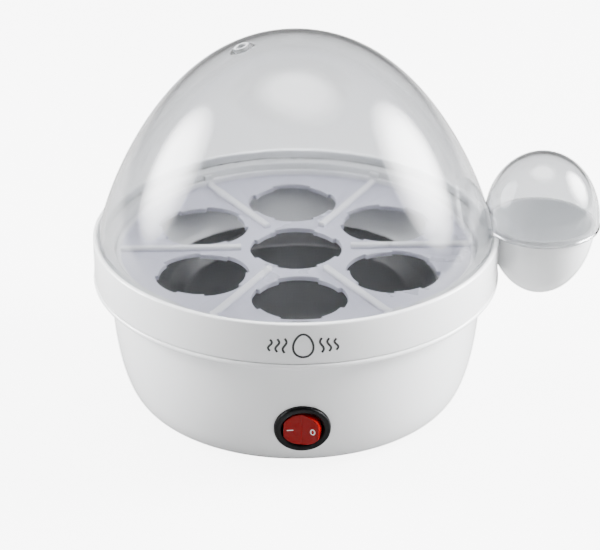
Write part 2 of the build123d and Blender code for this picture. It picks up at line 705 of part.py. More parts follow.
def casting_gap_angle():
    """The gap in the heater ring is at the back, where the cold ends come out."""
    return 90.0


def make_heating_element():
    """The tubular element: an open ring cast into aluminium, with both ends bent down."""
    middle = (casting_inner + casting_outer) / 2
    spread = SPIDER_ARM_WIDTH / 2 + COLD_END_GAP + ELEMENT_RADIUS + COLD_END_BEND
    gap = 2 * degrees(asin(spread / middle))
    arc = CenterArc((0, 0, element_centre_z()), middle, casting_gap_angle() + gap / 2, 360 - gap)
    edges = [arc]
    for end, heading in ((arc @ 1, arc % 1), (arc @ 0, (arc % 0) * -1)):
        centre = end - Vector(0, 0, COLD_END_BEND)
        bend_plane = Plane(origin=centre, x_dir=heading, z_dir=heading.cross(Vector(0, 0, 1)))
        bend = bend_plane * CenterArc((0, 0), COLD_END_BEND, 90, -90)
        foot = bend @ 1
        tail = Line(foot, (foot.X, foot.Y, element_centre_z() - COLD_END_DROP))
        edges = edges + [bend, tail] if end == arc @ 1 else [tail, bend] + edges
    path = Wire(Curve() + edges)
    return sweep(Plane(origin=path @ 0, z_dir=path % 0) * Circle(ELEMENT_RADIUS), path=path)


def cold_end_feet(element):
    """The centres of the element's two lower ends, the one at +X first."""
    rims = element.edges().filter_by(GeomType.CIRCLE).group_by(Axis.Z)[0]
    return sorted((rim.arc_center for rim in rims), key=lambda centre: -centre.X)


def make_heater_casting(element):
    """The aluminium ring that spreads the element's heat into the plate."""
    block = ring(casting_outer, casting_inner, casting_under_z, plate_under_z)
    block = fillet(block.edges().group_by(Axis.Z)[0], CASTING_EDGE_ROUND)
    half = radians((360 - CASTING_ARC) / 2)
    reach = 2 * casting_outer
    side_x, side_y = reach * sin(half), reach * cos(half)
    gap = make_face(Polyline((0, 0), (-side_x, side_y), (side_x, side_y), close=True))
    block -= Pos(0, 0, casting_under_z - 1) * extrude(gap, CASTING_HEIGHT + 2)
    return block - element


def make_element_pins(element):
    """A steel pin out of each cold end."""
    pin = Cylinder(PIN_RADIUS, PIN_LENGTH, align=(Align.CENTER, Align.CENTER, Align.MAX))
    return Compound(children=[Pos(*foot) * pin for foot in cold_end_feet(element)])


def make_plate_stud():
    return disc(STUD_RADIUS, plate_under_z - STUD_LENGTH, plate_under_z)


def make_plate_spider():
    """Pressed steel clamp: a hub on the stud and three arms that bear up under the housing's seat."""
    low, high = spider_top_z - SPIDER_SHEET, plate_seat_under_z
    hub = disc(SPIDER_HUB_RADIUS, low, spider_top_z)
    side = Polyline(
        (0, low),
        (spider_upright_radius + SPIDER_SHEET, low),
        (spider_upright_radius + SPIDER_SHEET, high - SPIDER_SHEET),
        (spider_foot_radius, high - SPIDER_SHEET),
        (spider_foot_radius, high),
        (spider_upright_radius, high),
        (spider_upright_radius, spider_top_z),
        (0, spider_top_z),
        close=True,
    )
    arm = extrude(Plane.XZ * make_face(side), SPIDER_ARM_WIDTH / 2, both=True)
    spider = hub
    for i in range(SPIDER_ARMS):
        spider += Rot(0, 0, 90 + 360 * i / SPIDER_ARMS) * arm
    spider -= Pos(0, -thermostat_offset, 0) * disc(THERMOSTAT_RADIUS, low - 1, spider_top_z + 1)
    return spider - disc(STUD_RADIUS + STUD_GAP, low - 1, spider_top_z + 1)


def make_spider_washer():
    high = spider_top_z - SPIDER_SHEET
    return ring(WASHER_RADIUS, STUD_RADIUS + STUD_GAP, high - WASHER_THICKNESS, high)


def make_spider_nut():
    high = spider_top_z - SPIDER_SHEET - WASHER_THICKNESS
    hexagon = extrude(RegularPolygon(NUT_FLATS / 2, 6, major_radius=False), NUT_HEIGHT)
    thread = disc(STUD_RADIUS + NUT_THREAD_GAP, high - NUT_HEIGHT - 1, high + 1)
    return Pos(0, 0, high - NUT_HEIGHT) * hexagon - thread


# ---------------------------------------------------------------- thermostat and fuse


def thermostat_place():
    """Under the plate, between the stud and the switch; z is the plate's underside."""
    return Pos(0, -thermostat_offset, plate_under_z)


def make_thermostat_cup():
    cup = Cylinder(THERMOSTAT_RADIUS, THERMOSTAT_CUP_HEIGHT, align=(Align.CENTER, Align.CENTER, Align.MAX))
    return thermostat_place() * cup


def make_thermostat_body():
    radius = THERMOSTAT_RADIUS - THERMOSTAT_BODY_INSET
    body = Cylinder(radius, THERMOSTAT_BODY_HEIGHT, align=(Align.CENTER, Align.CENTER, Align.MAX))
    body = fillet(body.edges().group_by(Axis.Z)[0], THERMOSTAT_BODY_ROUND)
    return thermostat_place() * Pos(0, 0, -THERMOSTAT_CUP_HEIGHT - THERMOSTAT_BRACKET_SHEET) * body


def make_thermostat_bracket():
    """A sheet strap between the cup and the body, with an ear for a rivet at each end."""
    strap = SlotOverall(THERMOSTAT_EAR_SPAN + THERMOSTAT_BRACKET_WIDTH, THERMOSTAT_BRACKET_WIDTH)
    sheet = extrude(strap + Circle(THERMOSTAT_RADIUS), THERMOSTAT_BRACKET_SHEET)
    hole = Cylinder(THERMOSTAT_EAR_HOLE_RADIUS, 4 * THERMOSTAT_BRACKET_SHEET)
    for side in (-1, 1):
        sheet -= Pos(side * THERMOSTAT_EAR_SPAN / 2, 0, 0) * hole
    return thermostat_place() * Pos(0, 0, -THERMOSTAT_CUP_HEIGHT - THERMOSTAT_BRACKET_SHEET) * sheet


def make_thermostat_screws():
    """Two studs from the plate with round heads under the bracket's ears."""
    drop = THERMOSTAT_CUP_HEIGHT + THERMOSTAT_BRACKET_SHEET
    below = (Align.CENTER, Align.CENTER, Align.MAX)
    shank = Cylinder(THERMOSTAT_SCREW_RADIUS, drop, align=below)
    head = Cylinder(THERMOSTAT_SCREW_HEAD_RADIUS, THERMOSTAT_SCREW_HEAD_HEIGHT, align=below)
    head = fillet(head.edges().group_by(Axis.Z)[0], THERMOSTAT_SCREW_HEAD_HEIGHT * HEAD_ROUND_SHARE)
    screw = shank + Pos(0, 0, -drop) * head
    places = [thermostat_place() * Pos(side * THERMOSTAT_EAR_SPAN / 2, 0, 0) for side in (-1, 1)]
    return Compound(children=[place * screw for place in places])


def thermostat_under_z():
    return plate_under_z - THERMOSTAT_CUP_HEIGHT - THERMOSTAT_BRACKET_SHEET - THERMOSTAT_BODY_HEIGHT


def make_thermostat_terminals():
    tab = Box(TAB_THICKNESS, TAB_WIDTH, TAB_LENGTH, align=(Align.CENTER, Align.CENTER, Align.MAX))
    places = [Pos(side * THERMOSTAT_TAB_OFFSET, -thermostat_offset, thermostat_under_z()) for side in (-1, 1)]
    return Compound(children=[place * tab for place in places])


def fuse_centre():
    """Beside the thermostat, inside the heater ring."""
    return (thermostat_offset, FUSE_SHIFT, plate_under_z - FUSE_RADIUS - FUSE_DROP)


def make_thermal_fuse():
    """A small sleeved one-shot fuse lying under the plate, with a lead at each end."""
    body = Rot(90, 0, 0) * Cylinder(FUSE_RADIUS, FUSE_LENGTH)
    leads = Rot(90, 0, 0) * Cylinder(FUSE_LEAD_RADIUS, FUSE_LENGTH + 2 * FUSE_LEAD_LENGTH)
    return Pos(*fuse_centre()) * (fillet(body.edges(), FUSE_EDGE_ROUND) + leads)


# ---------------------------------------------------------------- rocker switch


def pivot_w():
    """The rocker's pivot in the switch's frame."""
    return BEZEL_THICKNESS - BEZEL_SINK - ROCKER_PIVOT_SINK


def arm_pivot_w():
    return pivot_w() - ARM_DEPTH - ARM_SHEET


def barrel_floor_w():
    return -BEZEL_SINK - BARREL_DEPTH


def across_v(radius, length, w):
    """A cylinder along v through the switch's middle at a given w."""
    return Pos(0, 0, w) * Rot(90, 0, 0) * Cylinder(radius, length)


def make_switch_housing():
    """Round black body: bezel, barrel, rocker well, pivot holes, and slots for the terminals."""
    face_w = BEZEL_THICKNESS - BEZEL_SINK
    bezel = Pos(0, 0, -BEZEL_SINK) * Cylinder(
        BEZEL_RADIUS, BEZEL_THICKNESS, align=(Align.CENTER, Align.CENTER, Align.MIN)
    )
    bezel = fillet(bezel.edges().group_by(Axis.Z)[-1], BEZEL_EDGE_ROUND)
    barrel = Pos(0, 0, barrel_floor_w()) * Cylinder(
        barrel_radius, BARREL_DEPTH, align=(Align.CENTER, Align.CENTER, Align.MIN)
    )
    well = Pos(0, 0, barrel_floor_w() + WELL_FLOOR) * Cylinder(
        well_radius, BARREL_DEPTH + BEZEL_THICKNESS, align=(Align.CENTER, Align.CENTER, Align.MIN)
    )
    mouth = Pos(0, 0, face_w - WELL_CHAMFER) * Cone(
        well_radius, well_radius + WELL_CHAMFER, WELL_CHAMFER, align=(Align.CENTER, Align.CENTER, Align.MIN)
    )
    housing = bezel + barrel - well - mouth
    housing -= across_v(TRUNNION_RADIUS + TRUNNION_CLEARANCE, 2 * barrel_radius, pivot_w())
    for u in terminal_places():
        slot = Box(TAB_THICKNESS + 2 * TERMINAL_SLOT_GAP, TAB_WIDTH + 2 * TERMINAL_SLOT_GAP, 4 * WELL_FLOOR)
        housing -= Pos(u, 0, barrel_floor_w()) * slot
    return switch_plane() * housing


def rocker_turn(angle):
    """A turn of the rocker about its pivot, in the switch's frame; positive presses the right side."""
    return Pos(0, 0, pivot_w()) * Rot(0, angle, 0) * Pos(0, 0, -pivot_w())


def make_switch_rocker():
    """The red rocker: two faces that meet in a shallow crease, hollow below, with trunnions and a stem."""
    face_w = BEZEL_THICKNESS - BEZEL_SINK
    low_w = pivot_w() - ROCKER_BODY_DEPTH
    high_w = face_w + 2 * ROCKER_FACE_RISE
    round_block = Pos(0, 0, low_w) * Cylinder(
        rocker_radius, high_w - low_w, align=(Align.CENTER, Align.CENTER, Align.MIN)
    )
    swing = across_v(rocker_swing_radius, 4 * rocker_radius, pivot_w())
    reach = 2 * rocker_radius
    drop = face_w - ROCKER_DIP_SINK
    end = drop + (ROCKER_FACE_RISE + ROCKER_DIP_SINK) * reach / rocker_radius
    high = end + reach
    above = Polyline((0, drop), (reach, end), (reach, high), (-reach, high), (-reach, end), close=True)
    trough = extrude(Plane.XZ * make_face(above), reach, both=True)
    rocker = (round_block & swing) - trough
    rocker = fillet(rocker.edges().filter_by(lambda e: (e @ 0.5).Z > drop + 0.05), ROCKER_EDGE_ROUND)
    hollow = Pos(0, 0, low_w - 1) * Cylinder(
        rocker_radius - 2 * ROCKER_WALL,
        drop - ROCKER_WALL - low_w + 1,
        align=(Align.CENTER, Align.CENTER, Align.MIN),
    )
    stem_low = pivot_w() - STEM_DEPTH
    stem = Pos(0, 0, stem_low) * Cylinder(
        STEM_RADIUS, drop - ROCKER_WALL / 2 - stem_low, align=(Align.CENTER, Align.CENTER, Align.MIN)
    )
    bore = Pos(0, 0, stem_low - 1) * Cylinder(
        STEM_BORE_RADIUS, pivot_w() - stem_low, align=(Align.CENTER, Align.CENTER, Align.MIN)
    )
    trunnions = across_v(TRUNNION_RADIUS, 2 * (barrel_radius - TRUNNION_END_GAP), pivot_w())
    trunnions -= across_v(TRUNNION_RADIUS + 1, 2 * (rocker_radius - ROCKER_WALL), pivot_w())
    lamp_seat = Pos(0, 0, lamp_w()) * Rot(90, 0, 0) * Cylinder(
        LAMP_RADIUS + LAMP_GAP, LAMP_LENGTH + 2 * LAMP_GAP
    )
    rocker = rocker - hollow + stem - bore + trunnions
    rocker -= Pos(LAMP_OFFSET, 0, 0) * lamp_seat
    return switch_plane() * rocker_turn(-ROCKER_TILT) * rocker


def lamp_w():
    return pivot_w() - LAMP_SINK


def make_pilot_lamp():
    """The neon lamp inside the rocker."""
    lamp = Pos(LAMP_OFFSET, 0, lamp_w()) * Rot(90, 0, 0) * Cylinder(LAMP_RADIUS, LAMP_LENGTH)
    lamp = fillet(lamp.edges(), LAMP_EDGE_ROUND)
    return switch_plane() * rocker_turn(-ROCKER_TILT) * lamp


def make_switch_plunger():
    """The sprung pin in the rocker's stem, with a round tip on the contact arm."""
    tip_w = pivot_w() - PLUNGER_TIP_DEPTH
    top_w = pivot_w() - STEM_DEPTH + PLUNGER_REACH
    pin = Pos(0, 0, tip_w + PLUNGER_RADIUS) * Cylinder(
        PLUNGER_RADIUS, top_w - tip_w - PLUNGER_RADIUS, align=(Align.CENTER, Align.CENTER, Align.MIN)
    )
    pin += Pos(0, 0, tip_w + PLUNGER_RADIUS) * Sphere(PLUNGER_RADIUS)
    return switch_plane() * rocker_turn(-ROCKER_TILT) * pin


def make_switch_spring():
    """The coil spring above the plunger, inside the stem."""
    low = pivot_w() - STEM_DEPTH + PLUNGER_REACH + SPRING_GAP
    high = pivot_w() - SPRING_SEAT - SPRING_GAP
    radius = STEM_BORE_RADIUS - 2 * SPRING_WIRE
    height = high - low
    coil = Pos(0, 0, low) * Helix(pitch=height / SPRING_TURNS, height=height, radius=radius)
    wire = sweep(Plane(origin=coil @ 0, z_dir=coil % 0) * Circle(SPRING_WIRE), path=coil, is_frenet=True)
    return switch_plane() * rocker_turn(-ROCKER_TILT) * wire


def make_contact_arm():
    """The seesaw contact on its round knuckle, tipped over by the plunger."""
    arm = Box(ARM_LENGTH, ARM_WIDTH, ARM_SHEET, align=(Align.CENTER, Align.CENTER, Align.MIN))
    arm = fillet(arm.edges().filter_by(Axis.Z), ARM_CORNER)
    arm += Rot(90, 0, 0) * Cylinder(KNUCKLE_RADIUS, ARM_WIDTH)
    return switch_plane() * Pos(0, 0, arm_pivot_w()) * Rot(0, ARM_TILT, 0) * arm


def terminal_places():
    """u of the switch's three terminals."""
    return (-TERMINAL_SPACING, 0.0, TERMINAL_SPACING)


def make_switch_terminals():
    """Three flat tabs through the floor; the right one carries the fixed contact, the middle one the arm."""
    tabs = []
    floor_w = barrel_floor_w() + WELL_FLOOR
    tops = (floor_w + TERMINAL_RISE, arm_pivot_w() - KNUCKLE_RADIUS - KNUCKLE_GAP, floor_w + TERMINAL_RISE)
    for u, top in zip(terminal_places(), tops, strict=True):
        length = top - barrel_floor_w() + TAB_LENGTH
        tab = Box(TAB_THICKNESS, TAB_WIDTH, length, align=(Align.CENTER, Align.CENTER, Align.MAX))
        tabs.append(switch_plane() * Pos(u, 0, top) * tab)
    return Compound(children=tabs)


def make_fixed_contact():
    """The silver button under the arm's right end."""
    low = barrel_floor_w() + WELL_FLOOR + TERMINAL_RISE
    under_arm_w = arm_pivot_w() - sin(radians(ARM_TILT)) * (TERMINAL_SPACING + CONTACT_RADIUS)
    button = Pos(TERMINAL_SPACING - TAB_THICKNESS / 2, 0, low) * Cylinder(
        CONTACT_RADIUS, under_arm_w - CONTACT_GAP - low, align=(Align.CENTER, Align.CENTER, Align.MIN)
    )
    return switch_plane() * button


# ---------------------------------------------------------------- cord inlet and wiring


def make_cord_gland():
    """The bush in the rear wall that a mains cord passes through, held by a ring inside."""
    outer_y, inner_y, z = inlet_faces()
    flange = along_y(INLET_FLANGE_RADIUS, outer_y, outer_y + INLET_FLANGE_THICKNESS, z)
    flange = fillet(flange.edges().group_by(Axis.Y)[-1], INLET_FLANGE_THICKNESS * 0.5)
    sleeve = along_y(INLET_BUSH_RADIUS, inner_y - INLET_NUT_THICKNESS, outer_y, z)
    bore_low, bore_high = inner_y - 2 * INLET_NUT_THICKNESS, outer_y + 2 * INLET_FLANGE_THICKNESS
    bore = along_y(INLET_BORE_RADIUS, bore_low, bore_high, z)
    return flange + sleeve - bore


def make_gland_ring():
    outer_y, inner_y, z = inlet_faces()
    nut = along_y(INLET_FLANGE_RADIUS, inner_y - INLET_NUT_THICKNESS, inner_y, z)
    return nut - along_y(INLET_BUSH_RADIUS, inner_y - 2 * INLET_NUT_THICKNESS, inner_y + 1, z)


def block_ways():
    """x of each way of the terminal block."""
    return [(i - (BLOCK_WAYS - 1) / 2) * BLOCK_PITCH for i in range(BLOCK_WAYS)]


def tube_z():
    return cover_plate_top_z + BLOCK_BASE


def make_terminal_block():
    """The moulded connector on the bottom cover, bored for three brass tubes and their screws."""
    size = (BLOCK_LENGTH, BLOCK_DEPTH, BLOCK_HEIGHT)
    block = Box(*size, align=(Align.CENTER, Align.CENTER, Align.MIN))
    block = Pos(0, BLOCK_OFFSET, cover_plate_top_z) * fillet(block.edges().filter_by(Axis.Z), BLOCK_CORNER)
    for x in block_ways():
        hole = along_y(TUBE_RADIUS, BLOCK_OFFSET - BLOCK_DEPTH, BLOCK_OFFSET + BLOCK_DEPTH, tube_z())
        block -= Pos(x, 0, 0) * hole
        for side in (-1, 1):
            well = disc(BLOCK_SCREW_RADIUS + BLOCK_WELL_GAP, tube_z(), cover_plate_top_z + BLOCK_HEIGHT + 1)
            block -= Pos(x, BLOCK_OFFSET + side * TUBE_LENGTH / 4, 0) * well
    return block


def make_terminal_tubes():
    tubes = []
    for x in block_ways():
        low, high = BLOCK_OFFSET - TUBE_LENGTH / 2, BLOCK_OFFSET + TUBE_LENGTH / 2
        tube = along_y(TUBE_RADIUS, low, high, tube_z())
        tube -= along_y(TUBE_BORE_RADIUS, low - 1, high + 1, tube_z())
        for side in (-1, 1):
            tube -= Pos(0, BLOCK_OFFSET + side * TUBE_LENGTH / 4, 0) * disc(
                BLOCK_SCREW_RADIUS, tube_z(), tube_z() + 2 * TUBE_RADIUS
            )
        tubes.append(Pos(x, 0, 0) * tube)
    return Compound(children=tubes)


def make_terminal_screws():
    """Six grub screws down onto the wires in the brass tubes."""
    low, high = tube_z() + TUBE_BORE_RADIUS * 0.8, cover_plate_top_z + BLOCK_HEIGHT - BLOCK_SCREW_SINK
    slot = Pos(0, 0, high) * Box(4 * BLOCK_SCREW_RADIUS, BLOCK_SLOT_WIDTH, 2 * BLOCK_SLOT_DEPTH)
    screw = disc(BLOCK_SCREW_RADIUS - BLOCK_SCREW_GAP, low, high) - slot
    places = [Pos(x, BLOCK_OFFSET + side * TUBE_LENGTH / 4, 0) for x in block_ways() for side in (-1, 1)]
    return Compound(children=[place * screw for place in places])


def wire(*points):
    """An insulated wire along straight runs with bends as large as the runs allow."""
    points = [Vector(*p) for p in points]
    radii = []
    for a, b, c in zip(points, points[1:], points[2:], strict=False):
        turn = radians((b - a).get_angle(c - b))
        run = min((b - a).length, (c - b).length)
        radii.append(min(WIRE_BEND, 0.45 * run / tan(turn / 2)))
    path = FilletPolyline(*points, radius=radii) if radii else Line(*points)
    return sweep(Plane(origin=path @ 0, z_dir=path % 0) * Circle(WIRE_RADIUS), path=path)


def switch_tab_end(index):
    """The inner end of one of the switch's tabs."""
    point = switch_plane() * Pos(terminal_places()[index], 0, barrel_floor_w() - TAB_LENGTH)
    return point.position


def make_earth_tag():
    """A flat tab under the clamp's rear arm."""
    tag = Box(TAB_WIDTH, TAB_THICKNESS, TAB_LENGTH, align=(Align.CENTER, Align.CENTER, Align.MAX))
    return Pos(0, EARTH_TAG_OFFSET, spider_top_z - SPIDER_SHEET) * tag


def wires(element):
    """The five inner leads, each from tab to tab."""
    low_z = cover_plate_top_z + 3 * WIRE_RADIUS
    middle_tab, right_tab = switch_tab_end(1), switch_tab_end(2)
    inward = switch_plane().z_dir * -WIRE_BEND
    tab_x, tab_y = THERMOSTAT_TAB_OFFSET, -thermostat_offset
    tab_z = thermostat_under_z() - TAB_LENGTH
    right_foot, left_foot = cold_end_feet(element)
    pin_z = right_foot.Z - PIN_LENGTH
    live_x, earth_x, neutral_x = block_ways()
    mouth_y, mouth_z = BLOCK_OFFSET - TUBE_LENGTH / 2, tube_z()
    return {
        "live_wire": wire(
            (live_x, mouth_y, mouth_z),
            (live_x, mouth_y - 2.5 * WIRE_BEND, mouth_z),
            (2 * live_x, 0, low_z),
            (1.8 * live_x, -BLOCK_OFFSET * 0.6, low_z + WIRE_BEND),
            middle_tab + inward,
            middle_tab,
        ),
        "switched_wire": wire(
            right_tab,
            right_tab + inward,
            (tab_x + WIRE_BEND, tab_y - 2 * WIRE_BEND, tab_z - 1.5 * WIRE_BEND),
            (tab_x, tab_y, tab_z - WIRE_BEND),
            (tab_x, tab_y, tab_z),
        ),
        "heater_wire": wire(
            (-tab_x, tab_y, tab_z),
            (-tab_x, tab_y, tab_z - WIRE_BEND),
            (-2 * SPIDER_HUB_RADIUS, 0, pin_z - 1.5 * WIRE_BEND),
            (left_foot.X, left_foot.Y - 2 * WIRE_BEND, pin_z - WIRE_BEND),
            (left_foot.X, left_foot.Y, pin_z - WIRE_BEND),
            (left_foot.X, left_foot.Y, pin_z),
        ),
        "neutral_wire": wire(
            (neutral_x, mouth_y, mouth_z),
            (right_foot.X, right_foot.Y, mouth_z),
            (right_foot.X, right_foot.Y, pin_z),
        ),
        "earth_wire": wire(
            (earth_x, mouth_y, mouth_z),
            (earth_x, EARTH_TAG_OFFSET, mouth_z),
            (earth_x, EARTH_TAG_OFFSET, spider_top_z - SPIDER_SHEET - TAB_LENGTH),
        ),
    }


def main():
    element = make_heating_element()
    parts = {
        "lid": make_lid(),
        "egg_tray": make_egg_tray(),
        "upper_housing": make_upper_housing(),
        "lower_housing": make_lower_housing(),
        "bottom_cover": make_bottom_cover(),
        "cover_screws": make_cover_screws(),
        "rubber_feet": make_rubber_feet(),
        "rating_label": make_rating_label(),
        "heating_plate": make_heating_plate(),
        "plate_gasket": make_plate_gasket(),
        "plate_stud": make_plate_stud(),
        "plate_spider": make_plate_spider(),
        "spider_washer": make_spider_washer(),
        "spider_nut": make_spider_nut(),
        "heater_casting": make_heater_casting(element),
        "heating_element": element,
        "element_pins": make_element_pins(element),
        "thermostat_cup": make_thermostat_cup(),
        "thermostat_body": make_thermostat_body(),
        "thermostat_bracket": make_thermostat_bracket(),
        "thermostat_screws": make_thermostat_screws(),
        "thermostat_terminals": make_thermostat_terminals(),
        "thermal_fuse": make_thermal_fuse(),
        "switch_housing": make_switch_housing(),
        "switch_rocker": make_switch_rocker(),
        "switch_plunger": make_switch_plunger(),
        "switch_spring": make_switch_spring(),
        "pilot_lamp": make_pilot_lamp(),
        "contact_arm": make_contact_arm(),
        "switch_terminals": make_switch_terminals(),
        "fixed_contact": make_fixed_contact(),
        "cord_gland": make_cord_gland(),
        "gland_ring": make_gland_ring(),
        "terminal_block": make_terminal_block(),
        "terminal_tubes": make_terminal_tubes(),
        "terminal_screws": make_terminal_screws(),
        "earth_tag": make_earth_tag(),
        **wires(element),
    }
    os.makedirs("parts", exist_ok=True)
    for name, shape in parts.items():
        export_step(shape, f"parts/{name}.step")
        box = shape.bounding_box()
        print(f"{name:22s} {len(shape.solids())} solids  z {box.min.Z:7.2f} to {box.max.Z:7.2f}")


main()
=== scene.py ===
# %% [markdown]
# # An egg cooker in Blender
#
# A small electric cooker for seven eggs: a white casing with a round rocker switch, a dark heating plate, a
# lift-out tray and a see-through dome that carries half of an egg-shaped side grip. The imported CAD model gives
# every size and place. This file dresses it: smooth moulded shells, rounded edges, clear plastic, print and wear.
# Each cell makes one piece or one finish, and the cell before it says why it is made that way.

# %% Load the frame
import bpy
import bmesh
import json
from math import atan2, cos, pi, radians, sin, tan
from mathutils import Matrix, Vector


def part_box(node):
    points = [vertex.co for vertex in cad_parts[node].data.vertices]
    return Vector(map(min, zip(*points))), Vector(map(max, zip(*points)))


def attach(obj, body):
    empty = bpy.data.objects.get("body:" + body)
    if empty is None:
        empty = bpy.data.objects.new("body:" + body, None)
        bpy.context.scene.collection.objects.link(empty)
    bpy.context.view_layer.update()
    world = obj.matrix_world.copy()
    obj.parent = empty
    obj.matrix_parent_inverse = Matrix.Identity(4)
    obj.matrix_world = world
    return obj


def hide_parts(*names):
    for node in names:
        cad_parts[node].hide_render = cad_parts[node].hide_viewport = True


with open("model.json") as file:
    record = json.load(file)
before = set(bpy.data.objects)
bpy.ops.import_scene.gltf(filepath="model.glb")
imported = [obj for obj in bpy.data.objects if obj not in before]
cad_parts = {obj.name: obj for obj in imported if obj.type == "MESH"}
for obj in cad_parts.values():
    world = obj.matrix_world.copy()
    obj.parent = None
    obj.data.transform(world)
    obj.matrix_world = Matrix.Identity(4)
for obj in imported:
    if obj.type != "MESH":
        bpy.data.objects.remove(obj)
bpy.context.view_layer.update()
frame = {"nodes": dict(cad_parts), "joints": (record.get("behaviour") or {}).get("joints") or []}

MM = 0.001                  # sizes are written in millimetres, and Blender counts in metres

# %% [markdown]
# ## Camera
# The cooker is seen from the front and well above the table, from a little left of its front, with a long lens, so
# the dome keeps its shape. The camera is placed by angles and a distance, the way a photographer would note them.

# %% Camera
CAMERA_AZIMUTH = radians(-2.0)
CAMERA_ELEVATION = radians(27.2)
CAMERA_DISTANCE = 900 * MM
LENS = 120.0
SENSOR = 36.0
look_at = Vector((1.8, 0.0, 54.8)) * MM
back = Vector((
    sin(CAMERA_AZIMUTH) * cos(CAMERA_ELEVATION),
    -cos(CAMERA_AZIMUTH) * cos(CAMERA_ELEVATION),
    sin(CAMERA_ELEVATION),
))
camera = bpy.data.objects.new("camera", bpy.data.cameras.new("camera"))
bpy.context.scene.collection.objects.link(camera)
camera.data.lens = LENS
camera.data.sensor_width = SENSOR
camera.location = look_at + back * CAMERA_DISTANCE
camera.rotation_euler = (-back).to_track_quat("-Z", "Y").to_euler()
bpy.context.scene.camera = camera
print("camera at", camera.location)

# %% [markdown]
# ## Node helpers
# Shader trees and Geometry Nodes trees are both boxes joined by wires, so one helper adds a node to either: its
# settings first, then each input, which is either wired from another node's socket or given a value. Drawing the
# trees by mouse gives the same result, but code can be read, repeated and changed. A colour Mix node has several
# sockets of the same name, so its colours are picked by number.


# %% Node helpers
def add(tree, kind, inputs=None, **settings):
    """A node with its settings, and each input either wired from a socket or given a value."""
    made = tree.nodes.new(kind)
    for name, value in settings.items():
        setattr(made, name, value)
    for key, value in (inputs or {}).items():
        if isinstance(value, bpy.types.NodeSocket):
            tree.links.new(value, made.inputs[key])
        else:
            made.inputs[key].default_value = value
    return made


def math(tree, operation, first, second=0.0):
    """One arithmetic step."""
    return add(tree, "ShaderNodeMath", {0: first, 1: second}, operation=operation).outputs[0]


def mixed(tree, factor, first, second):
    """A colour between a wired one and a plain one."""
    mix = add(tree, "ShaderNodeMix", data_type="RGBA")
    colour_a, colour_b, colour_out = mix.inputs[6], mix.inputs[7], mix.outputs[2]
    tree.links.new(factor, mix.inputs["Factor"])
    tree.links.new(first, colour_a)
    colour_b.default_value = (*second, 1.0)
    return colour_out


def new_group(name, kind, sockets_in, sockets_out):
    """An empty group with named inputs and outputs, and its two end nodes."""
    group = bpy.data.node_groups.new(name, kind)
    for way, sockets in (("INPUT", sockets_in), ("OUTPUT", sockets_out)):
        for label, socket in sockets.items():
            group.interface.new_socket(label, in_out=way, socket_type="NodeSocket" + socket)
    return group, group.nodes.new("NodeGroupInput").outputs, group.nodes.new("NodeGroupOutput").inputs


print("helpers ready: add, math, mixed, new_group")

# %% [markdown]
# ## Surface effects shared by several finishes
# Moulded plastic and metal are never even. Their gloss drifts over a hand's width, their skin has a fine grain,
# and the corners that hands and cloths rub are a little paler. Each of these is a small group that is built once
# and then placed in each finish with that finish's own numbers. They read Object coordinates, which are metres
# here, so a scale of 900 gives features about a millimetre across.
#
# The first is gloss drift. A picture of smudges could do it, but a cloud of noise needs no file and has no seam.
# The cloud's middle range is spread between the two roughness values that the finish asks for.


# %% Gloss drift
CLOUD_LOW, CLOUD_HIGH = 0.3, 0.7    # the cloud's middle range


def build_gloss_drift():
    """Roughness that wanders between two values."""
    group, given, result = new_group(
        "Gloss drift",
        "ShaderNodeTree",
        {"Scale": "Float", "Low": "Float", "High": "Float"},
        {"Roughness": "Float"},
    )
    place = add(group, "ShaderNodeTexCoord").outputs["Object"]
    cloud = add(
        group, "ShaderNodeTexNoise", {"Vector": place, "Scale": given["Scale"], "Detail": 4.0, "Roughness": 0.6}
    ).outputs["Fac"]
    spread = add(group, "ShaderNodeMapRange", {
        "Value": cloud,
        "From Min": CLOUD_LOW,
        "From Max": CLOUD_HIGH,
        "To Min": given["Low"],
        "To Max": given["High"],
    })
    group.links.new(spread.outputs["Result"], result["Roughness"])
    return group


gloss_drift = build_gloss_drift()
print("built", gloss_drift.name)

# %% [markdown]
# ## Fine grain
# Seen close, plastic has the faint texture of its mould, and a cast or coated part has pits. A displacement would
# need millions of faces for that, so it is a height for a Bump node: soft noise, with a finer cell pattern added
# by as much as the finish asks for.


# %% Fine grain
PITS_TO_GRAIN = 3.7         # how much finer the pits are than the grain


def build_fine_grain():
    """A height made of soft noise and finer pits."""
    group, given, result = new_group(
        "Fine grain", "ShaderNodeTree", {"Scale": "Float", "Speckle": "Float"}, {"Height": "Float"}
    )
    place = add(group, "ShaderNodeTexCoord").outputs["Object"]
    soft = add(group, "ShaderNodeTexNoise", {"Vector": place, "Scale": given["Scale"], "Detail": 2.0})
    fine_scale = math(group, "MULTIPLY", given["Scale"], PITS_TO_GRAIN)
    pits = add(group, "ShaderNodeTexVoronoi", {"Vector": place, "Scale": fine_scale})
    pitted = math(group, "MULTIPLY", pits.outputs["Distance"], given["Speckle"])
    total = math(group, "ADD", soft.outputs["Fac"], pitted)
    group.links.new(total, result["Height"])
    return group


fine_grain = build_fine_grain()
print("built", fine_grain.name)

# %% [markdown]
# ## Edge wear
# Corners are rubbed first. Painting a mask by hand would have to be done again after each change of shape, so the
# mask comes from the shape itself: the Bevel node gives the normal of a rounded corner, and where it leaves the
# true normal there is a corner. Noise breaks the line up, because wear is never even.


# %% Edge wear
WEAR_BREAKS = 160.0         # scale of the noise that breaks the worn line up
WEAR_GAIN = 8.0


